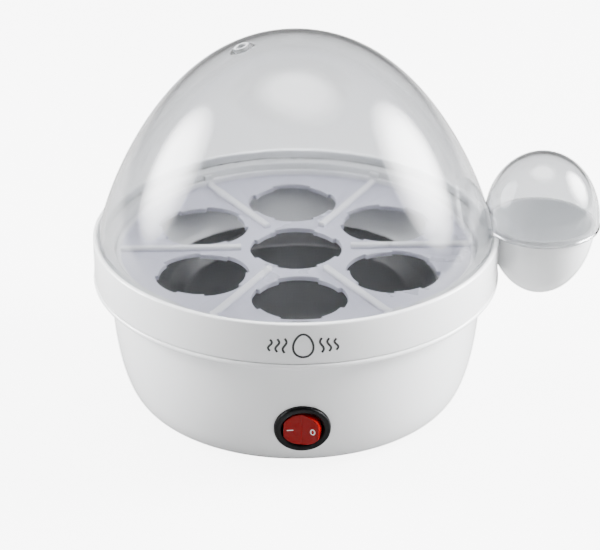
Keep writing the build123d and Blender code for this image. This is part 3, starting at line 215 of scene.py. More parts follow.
def build_edge_wear():
    """A mask that nears 1 on corners: where a rounded normal leaves the true one."""
    group, given, result = new_group(
        "Edge wear", "ShaderNodeTree", {"Width": "Float", "Amount": "Float"}, {"Mask": "Float"}
    )
    rounded = add(group, "ShaderNodeBevel", {"Radius": given["Width"]}, samples=4).outputs["Normal"]
    true = add(group, "ShaderNodeNewGeometry").outputs["Normal"]
    match = add(group, "ShaderNodeVectorMath", {0: rounded, 1: true}, operation="DOT_PRODUCT").outputs["Value"]
    apart = math(group, "SUBTRACT", 1.0, match)
    place = add(group, "ShaderNodeTexCoord").outputs["Object"]
    noise = add(group, "ShaderNodeTexNoise", {"Vector": place, "Scale": WEAR_BREAKS, "Detail": 4.0})
    breaks = noise.outputs["Fac"]
    strength = math(group, "MULTIPLY", given["Amount"], math(group, "MULTIPLY", breaks, WEAR_GAIN))
    mask = add(group, "ShaderNodeMath", {0: apart, 1: strength}, operation="MULTIPLY", use_clamp=True).outputs[0]
    group.links.new(mask, result["Mask"])
    return group


edge_wear = build_edge_wear()
print("built", edge_wear.name)

# %% [markdown]
# ## Tint drift
# Plastic yellows and metal darkens a little more in one place than in the next. The finish's own colour is scaled
# by a factor near one that wanders with the noise, which keeps its hue.


# %% Tint drift
def build_tint_drift():
    """A colour made a little lighter and darker from place to place."""
    group, given, result = new_group(
        "Tint drift",
        "ShaderNodeTree",
        {"Color": "Color", "Spread": "Float", "Scale": "Float"},
        {"Color": "Color"},
    )
    place = add(group, "ShaderNodeTexCoord").outputs["Object"]
    cloud = add(group, "ShaderNodeTexNoise", {"Vector": place, "Scale": given["Scale"], "Detail": 3.0})
    centred = math(group, "SUBTRACT", cloud.outputs["Fac"], 0.5)
    factor = math(group, "ADD", 1.0, math(group, "MULTIPLY", centred, given["Spread"]))
    tinted = add(group, "ShaderNodeVectorMath", {0: given["Color"], "Scale": factor}, operation="SCALE").outputs[0]
    group.links.new(tinted, result["Color"])
    return group


tint_drift = build_tint_drift()
print("built", tint_drift.name)

# %% [markdown]
# ## Finishes
# One function lays out the usual recipe: a drifting base colour with paler corners, a drifting roughness, and a
# fine bump. Each material could be wired by hand instead, but then a better recipe would have to be put into each
# of them. What is the same all over a finish, such as its coat or how much light it lets through, is set straight
# on the shader, where other programs can read it.

# %% The usual recipe
TINT_SCALE = 18.0
GLOSS_SCALE = 22.0
WORN_WIDTH = 0.6            # how far wear reaches in from a corner, in mm
PLAIN_GRAIN = (900.0, 0.0)  # scale and speckle


def finish(
    name, colour, rough, metallic=0.0, drift=0.06, worn=None, wear=0.0, grain=PLAIN_GRAIN, depth=0.004, **own
):
    """A material: colour, drift and worn corners, a roughness range, grain (scale, speckle), bump depth in mm."""
    material = bpy.data.materials.new(name)
    material.use_nodes = True
    tree = material.node_tree
    shader = tree.nodes["Principled BSDF"]
    base = add(tree, "ShaderNodeGroup", node_tree=tint_drift)
    base.inputs["Color"].default_value = (*colour, 1.0)
    base.inputs["Spread"].default_value = drift
    base.inputs["Scale"].default_value = TINT_SCALE
    tone = base.outputs["Color"]
    if worn is not None:
        mask = add(tree, "ShaderNodeGroup", node_tree=edge_wear)
        mask.inputs["Width"].default_value = WORN_WIDTH * MM
        mask.inputs["Amount"].default_value = wear
        tone = mixed(tree, mask.outputs["Mask"], tone, worn)
    tree.links.new(tone, shader.inputs["Base Color"])
    gloss = add(tree, "ShaderNodeGroup", node_tree=gloss_drift)
    gloss.inputs["Scale"].default_value = GLOSS_SCALE
    gloss.inputs["Low"].default_value, gloss.inputs["High"].default_value = rough
    tree.links.new(gloss.outputs["Roughness"], shader.inputs["Roughness"])
    skin = add(tree, "ShaderNodeGroup", node_tree=fine_grain)
    skin.inputs["Scale"].default_value, skin.inputs["Speckle"].default_value = grain
    bump = add(tree, "ShaderNodeBump", {"Strength": 1.0, "Distance": depth * MM, "Height": skin.outputs["Height"]})
    tree.links.new(bump.outputs["Normal"], shader.inputs["Normal"])
    shader.inputs["Metallic"].default_value = metallic
    for socket, value in own.items():
        shader.inputs[socket.replace("_", " ")].default_value = value
    return material


print("helper ready: finish")

# %% [markdown]
# ## White casing and clear dome
# The casing is white polypropylene with a high gloss, faintly cool, under a thin clear coat. The dome is clear
# with a slight haze: it lets all light through and bends it a little, as a glass shader does. A half-transparent
# white would be quicker to render, but it has no bright rim and no depth.

# %% White casing and clear dome
WHITE = (0.78, 0.79, 0.80)
PALE = (0.93, 0.93, 0.93)
CLEAR_IOR = 1.45
casing_white = finish(
    "casing white", WHITE, (0.17, 0.27), drift=0.03, worn=PALE, wear=0.25, grain=(700.0, 0.2), depth=0.003,
    IOR=1.49, Coat_Weight=0.3, Coat_Roughness=0.08,
)
dome_clear = finish(
    "dome clear", (0.93, 0.94, 0.955), (0.03, 0.07), drift=0.02, grain=(120.0, 0.0), depth=0.02,
    IOR=CLEAR_IOR, Transmission_Weight=1.0,
)
# The vent's lining is an opaque grey: painted shade that stands for how the clear bore of the vent looks.
vent_painted_shade = finish(
    "vent painted shade", (0.44, 0.45, 0.46), (0.45, 0.55), drift=0.03, grain=(900.0, 0.2), depth=0.004, IOR=CLEAR_IOR
)
print("finishes:", casing_white.name, dome_clear.name, vent_painted_shade.name)

# %% [markdown]
# ## Milky tray
# The tray is milky polypropylene: white, but light still gets into it. Its flat is given a lavender-grey colour,
# which is painted shade: it stands for the dark plate that shows through the thin plastic. Above the level of the
# flat, where ribs and rim stand, the colour runs over into a paler white, which is painted light for thicker
# plastic that lets less of the dark through.

# %% Milky tray
PAINTED_THICK_WHITE = (0.93, 0.93, 0.96)
PAINTED_SHADE_TOP = 68.4           # level, in mm, where the painted shade starts to give way to a paler white
PAINTED_SHADE_BLEND = 1.2
# The lavender-grey base colour is painted shade for the dark plate seen through the thin flat.
tray_milky = finish(
    "tray milky white", (0.60, 0.60, 0.70), (0.25, 0.36), drift=0.03, worn=PALE, wear=0.15, grain=(800.0, 0.1),
    depth=0.004, IOR=1.49, Transmission_Weight=0.15,
)


def paint_shade_only_below(material, level, blend):
    """Paints a material's colour whiter above a level, in mm, within a blend, so that its painted shade stays
    below the level.
    """
    tree = material.node_tree
    base = tree.nodes["Principled BSDF"].inputs["Base Color"]
    tone = base.links[0].from_socket
    place = add(tree, "ShaderNodeTexCoord").outputs["Object"]
    height = add(tree, "ShaderNodeSeparateXYZ", {0: place}).outputs["Z"]
    above = add(
        tree, "ShaderNodeMapRange", {"Value": height, "From Min": level * MM, "From Max": (level + blend) * MM}
    ).outputs["Result"]
    tree.links.new(mixed(tree, above, tone, PAINTED_THICK_WHITE), base)


paint_shade_only_below(tray_milky, PAINTED_SHADE_TOP, PAINTED_SHADE_BLEND)
print("finish:", tray_milky.name, "paler above", PAINTED_SHADE_TOP)

# %% [markdown]
# ## Fittings and switch
# The inlet bush and the connector are white nylon, duller than the casing. The switch's body is a deep black and
# its rocker a clear-bodied red, both with little mirror shine of their own: white light boxes all round would
# otherwise wash the black to grey and the red to pink. The thermostat's body is brown-black phenolic resin.

# %% Fittings and switch
fitting_white = finish(
    "fitting white nylon", (0.74, 0.74, 0.73), (0.30, 0.42), drift=0.05, worn=PALE, wear=0.2,
    grain=(1200.0, 0.3), depth=0.006,
)
switch_black = finish(
    "switch black", (0.0015, 0.0015, 0.002), (0.30, 0.40), drift=0.2, worn=(0.008, 0.008, 0.008), wear=0.08,
    grain=(1600.0, 0.3), depth=0.003, Specular_IOR_Level=0.12,
)
rocker_red = finish(
    "rocker red", (0.19, 0.0, 0.0), (0.14, 0.22), drift=0.10, worn=(0.27, 0.001, 0.001), wear=0.1,
    grain=(500.0, 0.0), depth=0.002, IOR=CLEAR_IOR, Specular_IOR_Level=0.14,
)
phenolic = finish(
    "moulded phenolic", (0.030, 0.024, 0.022), (0.40, 0.55), drift=0.5, worn=(0.10, 0.08, 0.07), wear=0.4,
    grain=(1500.0, 0.8), depth=0.012,
)
print("finishes:", fitting_white.name, switch_black.name, rocker_red.name, phenolic.name)

# %% [markdown]
# ## Print
# Pad print is a thin ink with almost no gloss of its own. It could be a picture on the casing's surface, but the
# marks here are raised pieces, so each colour of ink is a finish like any other.

# %% Print
PRINT_GRAIN = (2600.0, 0.4)
print_black = finish(
    "pad print black", (0.012, 0.012, 0.014), (0.30, 0.40), drift=0.3, grain=PRINT_GRAIN, depth=0.002
)
print_white = finish(
    "pad print white", (0.86, 0.86, 0.86), (0.35, 0.45), drift=0.05, grain=PRINT_GRAIN, depth=0.002
)
print("finishes:", print_black.name, print_white.name)

# %% [markdown]
# ## Metals and the heating plate
# The plate has a dark non-stick coating with a fine speckle. Inside, the heater ring is cast and grainy, its tube
# is darkened by heat, and the small parts are zinc-plated steel and brass. A metal's colour lies in what it
# mirrors, so Metallic is 1 and the base colour is the tint of the mirror.

# %% Metals and the heating plate
plate_coating = finish(
    "non-stick coating", (0.030, 0.030, 0.033), (0.34, 0.48), drift=0.5, worn=(0.16, 0.16, 0.17), wear=0.3,
    grain=(1500.0, 0.9), depth=0.02,
)
zinc_steel = finish(
    "zinc-plated steel", (0.56, 0.56, 0.57), (0.26, 0.42), metallic=1.0, drift=0.14, worn=(0.75, 0.75, 0.76),
    wear=0.4, grain=(1400.0, 0.2), depth=0.004,
)
cast_aluminium = finish(
    "cast aluminium", (0.62, 0.63, 0.64), (0.42, 0.60), metallic=1.0, drift=0.12, worn=(0.8, 0.8, 0.8), wear=0.4,
    grain=(900.0, 0.9), depth=0.03,
)
heated_steel = finish(
    "heat-darkened steel", (0.20, 0.165, 0.14), (0.38, 0.55), metallic=1.0, drift=0.6, worn=(0.42, 0.38, 0.33),
    wear=0.4, grain=(1100.0, 0.3), depth=0.008,
)
brass = finish(
    "brass", (0.78, 0.56, 0.24), (0.22, 0.36), metallic=1.0, drift=0.14, worn=(0.93, 0.75, 0.42), wear=0.4,
    grain=(1300.0, 0.1), depth=0.003,
)
print("finishes:", plate_coating.name, zinc_steel.name, cast_aluminium.name, heated_steel.name, brass.name)

# %% [markdown]
# ## Rubber, sleeve, label and lamp
# Soft parts scatter light evenly, so they are rough and have a low grain. The fuse sits in a woven glass sleeve,
# the rating label is a blank metal foil, and the lamp is a small bulb of tinted glass.

# %% Rubber, sleeve, label and lamp
silicone = finish(
    "silicone gasket", (0.52, 0.50, 0.47), (0.45, 0.58), drift=0.08, grain=(1400.0, 0.4), depth=0.006
)
foot_rubber = finish(
    "foot rubber", (0.40, 0.40, 0.39), (0.55, 0.70), drift=0.12, worn=(0.55, 0.55, 0.54), wear=0.3,
    grain=(1300.0, 0.6), depth=0.012,
)
fuse_sleeve = finish(
    "fuse sleeve", (0.74, 0.71, 0.60), (0.55, 0.7), drift=0.15, grain=(2400.0, 0.9), depth=0.03
)
label_foil = finish(
    "label foil", (0.66, 0.67, 0.68), (0.30, 0.42), metallic=0.6, drift=0.06, grain=(1800.0, 0.1), depth=0.002
)
lamp_glass = finish(
    "lamp glass", (0.98, 0.72, 0.5), (0.03, 0.08), drift=0.02, grain=(300.0, 0.0), depth=0.002, IOR=1.5,
    Transmission_Weight=0.9,
)
print("finishes:", silicone.name, foot_rubber.name, fuse_sleeve.name, label_foil.name, lamp_glass.name)

# %% [markdown]
# ## Insulation
# Each inner lead has a sleeve in its own colour, and the sleeves are otherwise alike, so one small function makes
# them all.


# %% Insulation
def insulation(name, colour):
    """Rubbery sleeve of an inner lead."""
    return finish(name, colour, (0.38, 0.52), drift=0.15, grain=(1800.0, 0.4), depth=0.006)


wire_brown = insulation("insulation brown", (0.16, 0.06, 0.025))
wire_black = insulation("insulation black", (0.02, 0.02, 0.022))
wire_red = insulation("insulation red", (0.42, 0.015, 0.015))
wire_blue = insulation("insulation blue", (0.03, 0.11, 0.42))
wire_earth = insulation("insulation green", (0.04, 0.32, 0.05))
print("sleeves:", wire_brown.name, wire_black.name, wire_red.name, wire_blue.name, wire_earth.name)

# %% [markdown]
# ## Turning a half section
# Most of this object is round: dome, bowl, collar, plate and feet are all a half section turned about an axis. The
# Screw modifier could do that, but a small Geometry Nodes tree shows the rule openly. It makes a grid whose rows
# are the section's points and whose columns are steps round the axis, and moves each grid point to its place.


# %% The turning tree
SEAM_WITHIN = 0.001         # mm; closes the turned grid where its last column meets its first


def build_turning():
    """Turns the points of a half section, which lie in order in the XZ plane, about Z."""
    tree, given, result = new_group(
        "Turn a half section",
        "GeometryNodeTree",
        {"Section": "Geometry", "Segments": "Int", "Material": "Material"},
        {"Geometry": "Geometry"},
    )
    size = add(tree, "GeometryNodeAttributeDomainSize", {0: given["Section"]}, component="MESH")
    count = size.outputs["Point Count"]
    columns = math(tree, "ADD", given["Segments"], 1.0)
    grid = add(tree, "GeometryNodeMeshGrid", {"Vertices X": columns, "Vertices Y": count}).outputs["Mesh"]
    index = add(tree, "GeometryNodeInputIndex").outputs[0]
    row = math(tree, "MODULO", index, count)
    column = math(tree, "FLOOR", math(tree, "DIVIDE", index, count))
    angle = math(tree, "MULTIPLY", math(tree, "DIVIDE", column, given["Segments"]), 2 * pi)
    position = add(tree, "GeometryNodeInputPosition").outputs[0]
    point = add(
        tree,
        "GeometryNodeSampleIndex",
        {"Geometry": given["Section"], "Value": position, "Index": row},
        data_type="FLOAT_VECTOR",
        domain="POINT",
    ).outputs[0]
    spun = add(
        tree, "ShaderNodeVectorRotate", {"Vector": point, "Angle": angle}, rotation_type="Z_AXIS"
    ).outputs[0]
    shaped = add(tree, "GeometryNodeSetPosition", {"Geometry": grid, "Position": spun}).outputs[0]
    closed = add(
        tree, "GeometryNodeMergeByDistance", {"Geometry": shaped, "Distance": SEAM_WITHIN * MM}
    ).outputs[0]
    whole = add(tree, "GeometryNodeRealizeInstances", {"Geometry": closed}).outputs[0]
    painted = add(tree, "GeometryNodeSetMaterial", {"Geometry": whole, "Material": given["Material"]}).outputs[0]
    tree.links.new(painted, result["Geometry"])
    return tree


turning = build_turning()
print("built", turning.name, "with", len(turning.nodes), "nodes")

# %% [markdown]
# ## Running a tree and keeping its result
# A tree runs as a modifier on an object. Its inputs are set by the sockets' identifiers, which never change, not
# by their names. The result is then turned into a plain mesh, because a live modifier would be worked out again
# with each change. After that, doubles are merged, faces turned outwards, and the shading is made smooth except
# across corners, so that a turned wall looks round and its rim stays crisp.


# %% Running a tree and keeping its result
DOUBLES_WITHIN = 0.002      # mm; points closer than this become one
SLIVER = 0.001              # mm; shorter edges are taken out


def new_object(name, mesh):
    """A new object, in the scene's own collection."""
    made = bpy.data.objects.new(name, mesh)
    bpy.context.scene.collection.objects.link(made)
    return made


def plain(thing):
    """Replaces an object's modifiers by the mesh that they make."""
    bpy.context.view_layer.update()
    graph = bpy.context.evaluated_depsgraph_get()
    mesh = bpy.data.meshes.new_from_object(thing.evaluated_get(graph))
    thing.modifiers.clear()
    thing.data = mesh
    return thing


def run_tree(thing, tree, settings):
    """Runs a Geometry Nodes tree on an object, with its inputs given by name, and keeps the result."""
    modifier = thing.modifiers.new("Shape", "NODES")
    modifier.node_group = tree
    for item in tree.interface.items_tree:
        if item.in_out == "INPUT" and item.name in settings:
            modifier[item.identifier] = settings[item.name]
    return plain(thing)


def smooth(thing, sharp=38.0):
    """Merges doubles, turns faces outwards and shades smoothly except across corners over an angle in degrees."""
    work = bmesh.new()
    work.from_mesh(thing.data)
    bmesh.ops.remove_doubles(work, verts=work.verts, dist=DOUBLES_WITHIN * MM)
    bmesh.ops.dissolve_degenerate(work, edges=work.edges, dist=SLIVER * MM)
    bmesh.ops.recalc_face_normals(work, faces=work.faces)
    work.to_mesh(thing.data)
    work.free()
    thing.data.shade_smooth()
    thing.data.set_sharp_from_angle(angle=radians(sharp))
    return thing


print("helpers ready: new_object, plain, run_tree, smooth")

# %% [markdown]
# ## Sections with rounded corners
# A half section is written as corners, the way a draughtsperson would note them, and any corner may be given a
# radius. A Bevel modifier on the finished solid could round it too, but on long thin walls a drawn radius is
# cleaner and costs fewer faces. The solid is then the section, run through the turning tree.


# %% Sections with rounded corners
REACH_LIMIT = 0.49          # a rounding takes less than half of the side that it lies on


def section(*corners, steps=4):
    """Points of a half section in mm. A corner is (radius, z), or (radius, z, rounding) to round it off."""
    points = []
    last = len(corners) - 1
    for i, corner in enumerate(corners):
        here = Vector(corner[:2])
        if len(corner) < 3 or i in (0, last):
            points.append(here)
            continue
        before, after = Vector(corners[i - 1][:2]) - here, Vector(corners[i + 1][:2]) - here
        half = before.angle(after) / 2
        reach = min(corner[2] / tan(half), REACH_LIMIT * before.length, REACH_LIMIT * after.length)
        start, end = here + before.normalized() * reach, here + after.normalized() * reach
        centre = here + (before.normalized() + after.normalized()).normalized() * (reach / cos(half))
        radius = (start - centre).length
        for k in range(steps + 1):
            blend = (start - centre).lerp(end - centre, k / steps)
            points.append(centre + blend.normalized() * radius)
    return points


def ring_of(*corners, steps=4):
    """A closed section that starts and ends at its first corner."""
    return section(*corners, corners[0][:2], steps=steps)


def bulge(p, q, steps):
    """(radius share, height share) pairs along a soft egg-like curve, from its widest point to its end."""
    turns = [0.5 * pi * i / steps for i in range(steps + 1)]
    return [(max(cos(t), 0.0) ** (2 / q), sin(t) ** (2 / p)) for t in turns]


def turned(name, points, segments):
    """A solid of revolution about Z from half-section points in mm."""
    mesh = bpy.data.meshes.new(name)
    places = [(point[0] * MM, 0.0, point[1] * MM) for point in points]
    mesh.from_pydata(places, [(i, i + 1) for i in range(len(places) - 1)], [])
    return smooth(run_tree(new_object(name, mesh), turning, {"Segments": segments}))


print("helpers ready: section, ring_of, bulge, turned")

# %% [markdown]
# ## Copies at chosen places
# Feet, screws, posts, slots, ribs and egg seats repeat, so one tree sets a piece on every point of a small point
# cloud. Placing each by hand would give the same mesh, but a changed size would then have to be put right many
# times. Turned copies face away from the axis, which their own place tells: its bearing seen from the axis.


# %% The copying tree
def build_copying():
    """Sets one piece on every point of a mesh and makes the copies real."""
    tree, given, result = new_group(
        "Copies at places",
        "GeometryNodeTree",
        {"Places": "Geometry", "Piece": "Object", "Face outwards": "Float", "Material": "Material"},
        {"Geometry": "Geometry"},
    )
    position = add(tree, "GeometryNodeInputPosition").outputs[0]
    parts = add(tree, "ShaderNodeSeparateXYZ", {0: position})
    bearing = math(tree, "ARCTAN2", parts.outputs["Y"], parts.outputs["X"])
    turn = math(tree, "MULTIPLY", bearing, given["Face outwards"])
    rotation = add(tree, "ShaderNodeCombineXYZ", {"Z": turn}).outputs[0]
    piece = add(tree, "GeometryNodeObjectInfo", {"Object": given["Piece"]}).outputs["Geometry"]
    copies = add(
        tree, "GeometryNodeInstanceOnPoints", {"Points": given["Places"], "Instance": piece, "Rotation": rotation}
    ).outputs[0]
    whole = add(tree, "GeometryNodeRealizeInstances", {"Geometry": copies}).outputs[0]
    painted = add(tree, "GeometryNodeSetMaterial", {"Geometry": whole, "Material": given["Material"]}).outputs[0]
    tree.links.new(painted, result["Geometry"])
    return tree


copying = build_copying()
print("built", copying.name, "with", len(copying.nodes), "nodes")


def copies(name, piece, places, outwards=1.0, material=None):
    """The piece set at each place (x, y, z in mm), as one mesh. The pattern piece is removed."""
    mesh = bpy.data.meshes.new(name)
    mesh.from_pydata([Vector(place) * MM for place in places], [], [])
    made = run_tree(
        new_object(name, mesh), copying, {"Piece": piece, "Face outwards": outwards, "Material": material}
    )
    bpy.data.objects.remove(piece)
    return smooth(made)


def on_circle(radius, angles, z):
    """Places round the axis, in mm, at angles in degrees."""
    return [(radius * cos(radians(a)), radius * sin(radians(a)), z) for a in angles]


# %% [markdown]
# ## Solids for cutting and joining
# What isn't round is an outline pulled up into a prism. Solids are joined and cut by exact booleans, which keep
# walls closed where faces nearly touch. Placing is done on the mesh itself, so every finished piece stays at the
# origin, as the CAD nodes do.


# %% Solids for cutting and joining
def extruded(name, outline, low, high):
    """A prism from an outline of (x, y) points in mm, between two heights."""
    work = bmesh.new()
    floor = [work.verts.new((x * MM, y * MM, low * MM)) for x, y in outline]
    roof = [work.verts.new((x * MM, y * MM, high * MM)) for x, y in outline]
    work.faces.new(floor)
    work.faces.new(roof)
    for i in range(len(outline)):
        j = (i + 1) % len(outline)
        work.faces.new((floor[i], floor[j], roof[j], roof[i]))
    bmesh.ops.recalc_face_normals(work, faces=work.faces)
    mesh = bpy.data.meshes.new(name)
    work.to_mesh(mesh)
    work.free()
    return new_object(name, mesh)


def rectangle(x_low, x_high, y_low, y_high):
    """Its four corners, for extruded."""
    return [(x_low, y_low), (x_high, y_low), (x_high, y_high), (x_low, y_high)]


def round_bar(radius, low, high):
    """A plain cylinder about Z, as a section."""
    return section((0, low), (radius, low), (radius, high), (0, high))


def moved(thing, matrix):
    """Moves the mesh itself, so that the object stays at the origin."""
    thing.data.transform(matrix)
    return thing


def shifted(thing, x):
    """Moves the mesh along X, by mm."""
    return moved(thing, Matrix.Translation(Vector((x, 0, 0)) * MM))


def combine(thing, tool, operation):
    """Cuts or joins two closed solids, and removes the second."""
    modifier = thing.modifiers.new("Combine", "BOOLEAN")
    modifier.solver = "EXACT"
    modifier.operation = operation
    modifier.object = tool
    plain(thing)
    bpy.data.objects.remove(tool)
    return thing


def soften(thing, width, steps, angle):
    """Rounds the edges that are sharper than an angle in degrees, by a width in mm."""
    modifier = thing.modifiers.new("Soften", "BEVEL")
    modifier.width = width * MM
    modifier.segments = steps
    modifier.limit_method = "ANGLE"
    modifier.angle_limit = radians(angle)
    modifier.use_clamp_overlap = True
    modifier.miter_outer = "MITER_ARC"
    return plain(thing)


print("helpers ready: extruded, rectangle, round_bar, moved, shifted, combine, soften")

# %% [markdown]
# ## Finish and hand-over of a piece
# Every piece gets one material all over, and is then handed to the frame: the body that it moves with and the CAD
# nodes that it stands for.


# %% Finish and hand-over of a piece
def dress(thing, material):
    """Gives a piece one material all over."""
    thing.data.materials.clear()
    thing.data.materials.append(material)
    return thing


def fit(thing, body, *nodes, slot):
    """Hands a finished piece to the frame: the body it rides on, the nodes it stands for, and its slot, which is
    not used.
    """
    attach(thing, body)
    if nodes:
        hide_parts(*nodes)
    print(f"{thing.name}: {len(thing.data.polygons)} faces")
    return thing


print("helpers ready: dress, fit")

# %% [markdown]
# ## Levels and radii from the frame
# Pieces take their places from the CAD nodes' boxes. Typed-in places would be simpler, but they would be wrong as
# soon as the CAD model changed. Only thicknesses and seats, which no box shows, are given here in millimetres.


# %% Levels and radii
def edge(node, end, axis):
    """One side of a node's box in mm: end 0 is the low corner and 1 the high one."""
    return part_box(node)[end]["xyz".index(axis)] / MM


LID_SEAT_DEPTH = 4.0        # the lid's seat, below the collar's top edge
SPIGOT_HEIGHT = 5.0         # the lower housing's ring that stands inside the collar
SPIGOT_WALL = 2.0
SEAM = 0.3                  # the line between collar and lower rim
RIM_OVERHANG = 0.5
RIM_THICKNESS = 2.2
WALL = 2.2
collar_radius = -edge("upper_housing", 0, "x")
collar_inner = collar_radius - WALL
lid_seat = edge("lid", 0, "z")
collar_top = lid_seat + LID_SEAT_DEPTH
dome_top = edge("lid", 1, "z")
dome_radius = -edge("lid", 0, "x")
cover_reach = edge("lid", 1, "x")
pocket_rim = edge("upper_housing", 1, "z")
rim_top = edge("lower_housing", 1, "z") - SPIGOT_HEIGHT
rim_bottom = rim_top - RIM_THICKNESS
skirt = edge("lower_housing", 0, "z")
tray_radius = -edge("egg_tray", 0, "x")
tray_seat = edge("egg_tray", 0, "z")
tray_rim = edge("egg_tray", 1, "z")
plate_radius = edge("heating_plate", 1, "x")
plate_rim = edge("heating_plate", 1, "z")
plate_under = edge("heating_plate", 0, "z")
FINE_TURN = 192             # segments of the large turned pieces
GRIP_TURN = 112
PLATE_TURN = 160
SMALL_TURN = 64
BORE_TURN = 48
POST_TURN = 32
PAST = 3.0                  # how far a cutting tool reaches past what it cuts
print("collar", collar_radius, collar_top, "dome", dome_radius, dome_top)

# %% [markdown]
# ## Lid sizes
# The dome follows one rule all the way up: near the collar it rises almost straight, and it closes like the blunt
# end of an egg. The same mould carries the cover of the side grip, half an ellipsoid with a thin bead at its foot,
# and a small rimmed vent. The sizes come first, because the solids share them.

# %% Lid sizes
LID_WALL = 1.8
LID_FOOT_ROUND = 0.6
DOME_CURVE = (1.24, 2.265)  # the exponents of its outline
DOME_STEPS = 72
POCKET_RADIUS = 24.0
COVER_WALL = 1.6
COVER_GAP = 0.4
COVER_RISE = 30.9           # from the cover's widest ring to its top
COVER_LIFT = 0.4
COVER_SKIRT = 2.6
COVER_BEAD = 0.35
BEAD_FACE, BEAD_END = 2, 3.4    # levels where its face and its slope end, in widths of the bead
HALF_EGG = (2, 2)           # exponents again: a plain ellipse
HALF_EGG_STEPS = 40
cover_radius = POCKET_RADIUS + COVER_GAP + COVER_WALL
grip_offset = cover_reach - cover_radius
cover_foot = collar_top + COVER_LIFT
cover_ring = cover_foot + COVER_SKIRT
print("grip", grip_offset, "mm beside the axis")

# %% [markdown]
# ## Lid sections
# Outside and inside of a wall are the same section, the inner one drawn in by the wall's thickness, so one
# function gives both.


# %% Lid sections
def dome_section(inset, foot, rounding):
    """The dome's half section, drawn in by an inset."""
    radius, rise = dome_radius - inset, dome_top - collar_top - inset
    curve = [(radius * r, collar_top + rise * h) for r, h in bulge(*DOME_CURVE, DOME_STEPS)]
    return section((0, foot), (radius, foot, rounding), (radius, collar_top), steps=5)[:-1] + curve


def cover_section(inset, foot, bead):
    """The half section of the grip's cover, with a bead round its foot or without one."""
    radius, rise = cover_radius - inset - bead, COVER_RISE - inset
    curve = [(radius * r, cover_ring + rise * h) for r, h in bulge(*HALF_EGG, HALF_EGG_STEPS)]
    lip = [(0, foot), (radius + bead, foot)]
    if bead:
        lip += [(radius + bead, foot + BEAD_FACE * bead), (radius, foot + BEAD_END * bead)]
    return lip + curve


print("dome section:", len(dome_section(0.0, lid_seat, LID_FOOT_ROUND)), "points")

# %% [markdown]
# ## Where the vent stands
# The steam vent sits on the slope of the dome, away from the grip. Its pieces are drawn about the Z axis, where a
# turned piece is easy to write, and one matrix then tilts them square to the dome's surface.

# %% Where the vent stands
VENT_RADIUS = 2.4
VENT_RIM_RADIUS = 4.2
VENT_RIM_HEIGHT = 0.8
VENT_RIM_ROUND = 1.5
VENT_RIM_INSET = 0.8        # how far the rim's top edge stands inside its radius
VENT_SLOPE = 2.4            # a long slope, because steep clear walls trap light and look black
VENT_LINING = 1.0             # the mouth's lining, an opaque grey ring that is painted shade
VENT_LINING_ROUND = 0.2
VENT_MOUTH_TOP = 0.85
VENT_BORE_REACH = 8.0
VENT_OFFSET = 23.0


def dome_height(radius):
    """The level of the dome's outer surface, at a radius from its axis."""
    p, q = DOME_CURVE
    return collar_top + (dome_top - collar_top) * (1 - (radius / dome_radius) ** q) ** (1 / p)


vent_fall = dome_height(VENT_OFFSET - 0.5) - dome_height(VENT_OFFSET + 0.5)
vent_place = Matrix.Translation(Vector((-VENT_OFFSET, 0, dome_height(VENT_OFFSET))) * MM)
vent_matrix = vent_place @ Matrix.Rotation(-atan2(vent_fall, 1.0), 4, "Y")
print("vent at level", dome_height(VENT_OFFSET))

# %% [markdown]
# ## Lid
# The solids are joined first and hollowed last, so that the walls meet without a seam, as in one shot of plastic.
# Giving each shell its wall first and joining the shells would leave walls that cross inside the dome, and clear
# plastic would show them. The vent's mouth is lined by an opaque grey ring of its own, which is painted shade: it
# stands for how the clear bore looks.

# %% Lid
lid = turned("lid_shell", dome_section(0.0, lid_seat, LID_FOOT_ROUND), FINE_TURN)
cover = shifted(turned("cover", cover_section(0.0, cover_foot, COVER_BEAD), GRIP_TURN), grip_offset)
vent_foot = VENT_RIM_RADIUS + VENT_SLOPE
vent_rim = turned("vent_rim", section(
    (0, -2 * VENT_RIM_HEIGHT), (vent_foot, -2 * VENT_RIM_HEIGHT), (vent_foot, -VENT_RIM_HEIGHT),
    (VENT_RIM_RADIUS - VENT_RIM_INSET, VENT_RIM_HEIGHT, VENT_RIM_ROUND), (0, VENT_RIM_HEIGHT),
), SMALL_TURN)
dome_filled = turned("dome_filled", dome_section(0.0, lid_seat, LID_FOOT_ROUND), FINE_TURN)
dome_hollow = turned("dome_hollow", dome_section(LID_WALL, lid_seat - PAST, 0.0), FINE_TURN)
cover_hollow = turned("cover_hollow", cover_section(COVER_WALL, cover_foot - PAST, 0.0), GRIP_TURN)
vent_bore = turned(
    "vent_bore", round_bar(VENT_RADIUS + VENT_LINING / 2, -VENT_BORE_REACH, VENT_BORE_REACH), BORE_TURN
)

combine(lid, cover, "UNION")
combine(lid, moved(vent_rim, vent_matrix), "UNION")
combine(shifted(cover_hollow, grip_offset), dome_filled, "DIFFERENCE")
combine(lid, dome_hollow, "DIFFERENCE")
combine(lid, cover_hollow, "DIFFERENCE")
combine(lid, moved(vent_bore, vent_matrix), "DIFFERENCE")
dress(smooth(lid, sharp=30.0), dome_clear)
fit(lid, "lid", "lid", slot="lid_clear")

# The grey lining is painted shade in the vent's clear bore.
vent_mouth = turned("vent_mouth", ring_of(
    (VENT_RADIUS, -LID_WALL), (VENT_RADIUS + VENT_LINING, -LID_WALL),
    (VENT_RADIUS + VENT_LINING, VENT_MOUTH_TOP, VENT_LINING_ROUND), (VENT_RADIUS, VENT_MOUTH_TOP, VENT_LINING_ROUND),
), BORE_TURN)
fit(dress(moved(vent_mouth, vent_matrix), vent_painted_shade), "lid", slot="lid_clear")

# %% [markdown]
# ## Upper housing
# The collar, the lid's seat, the tray's seat and the funnel down to the plate are one moulding, so they are one
# turned section with rounded corners. The section runs down the inside first, then under the plate's seat and
# back up the outside, a wall's thickness away.

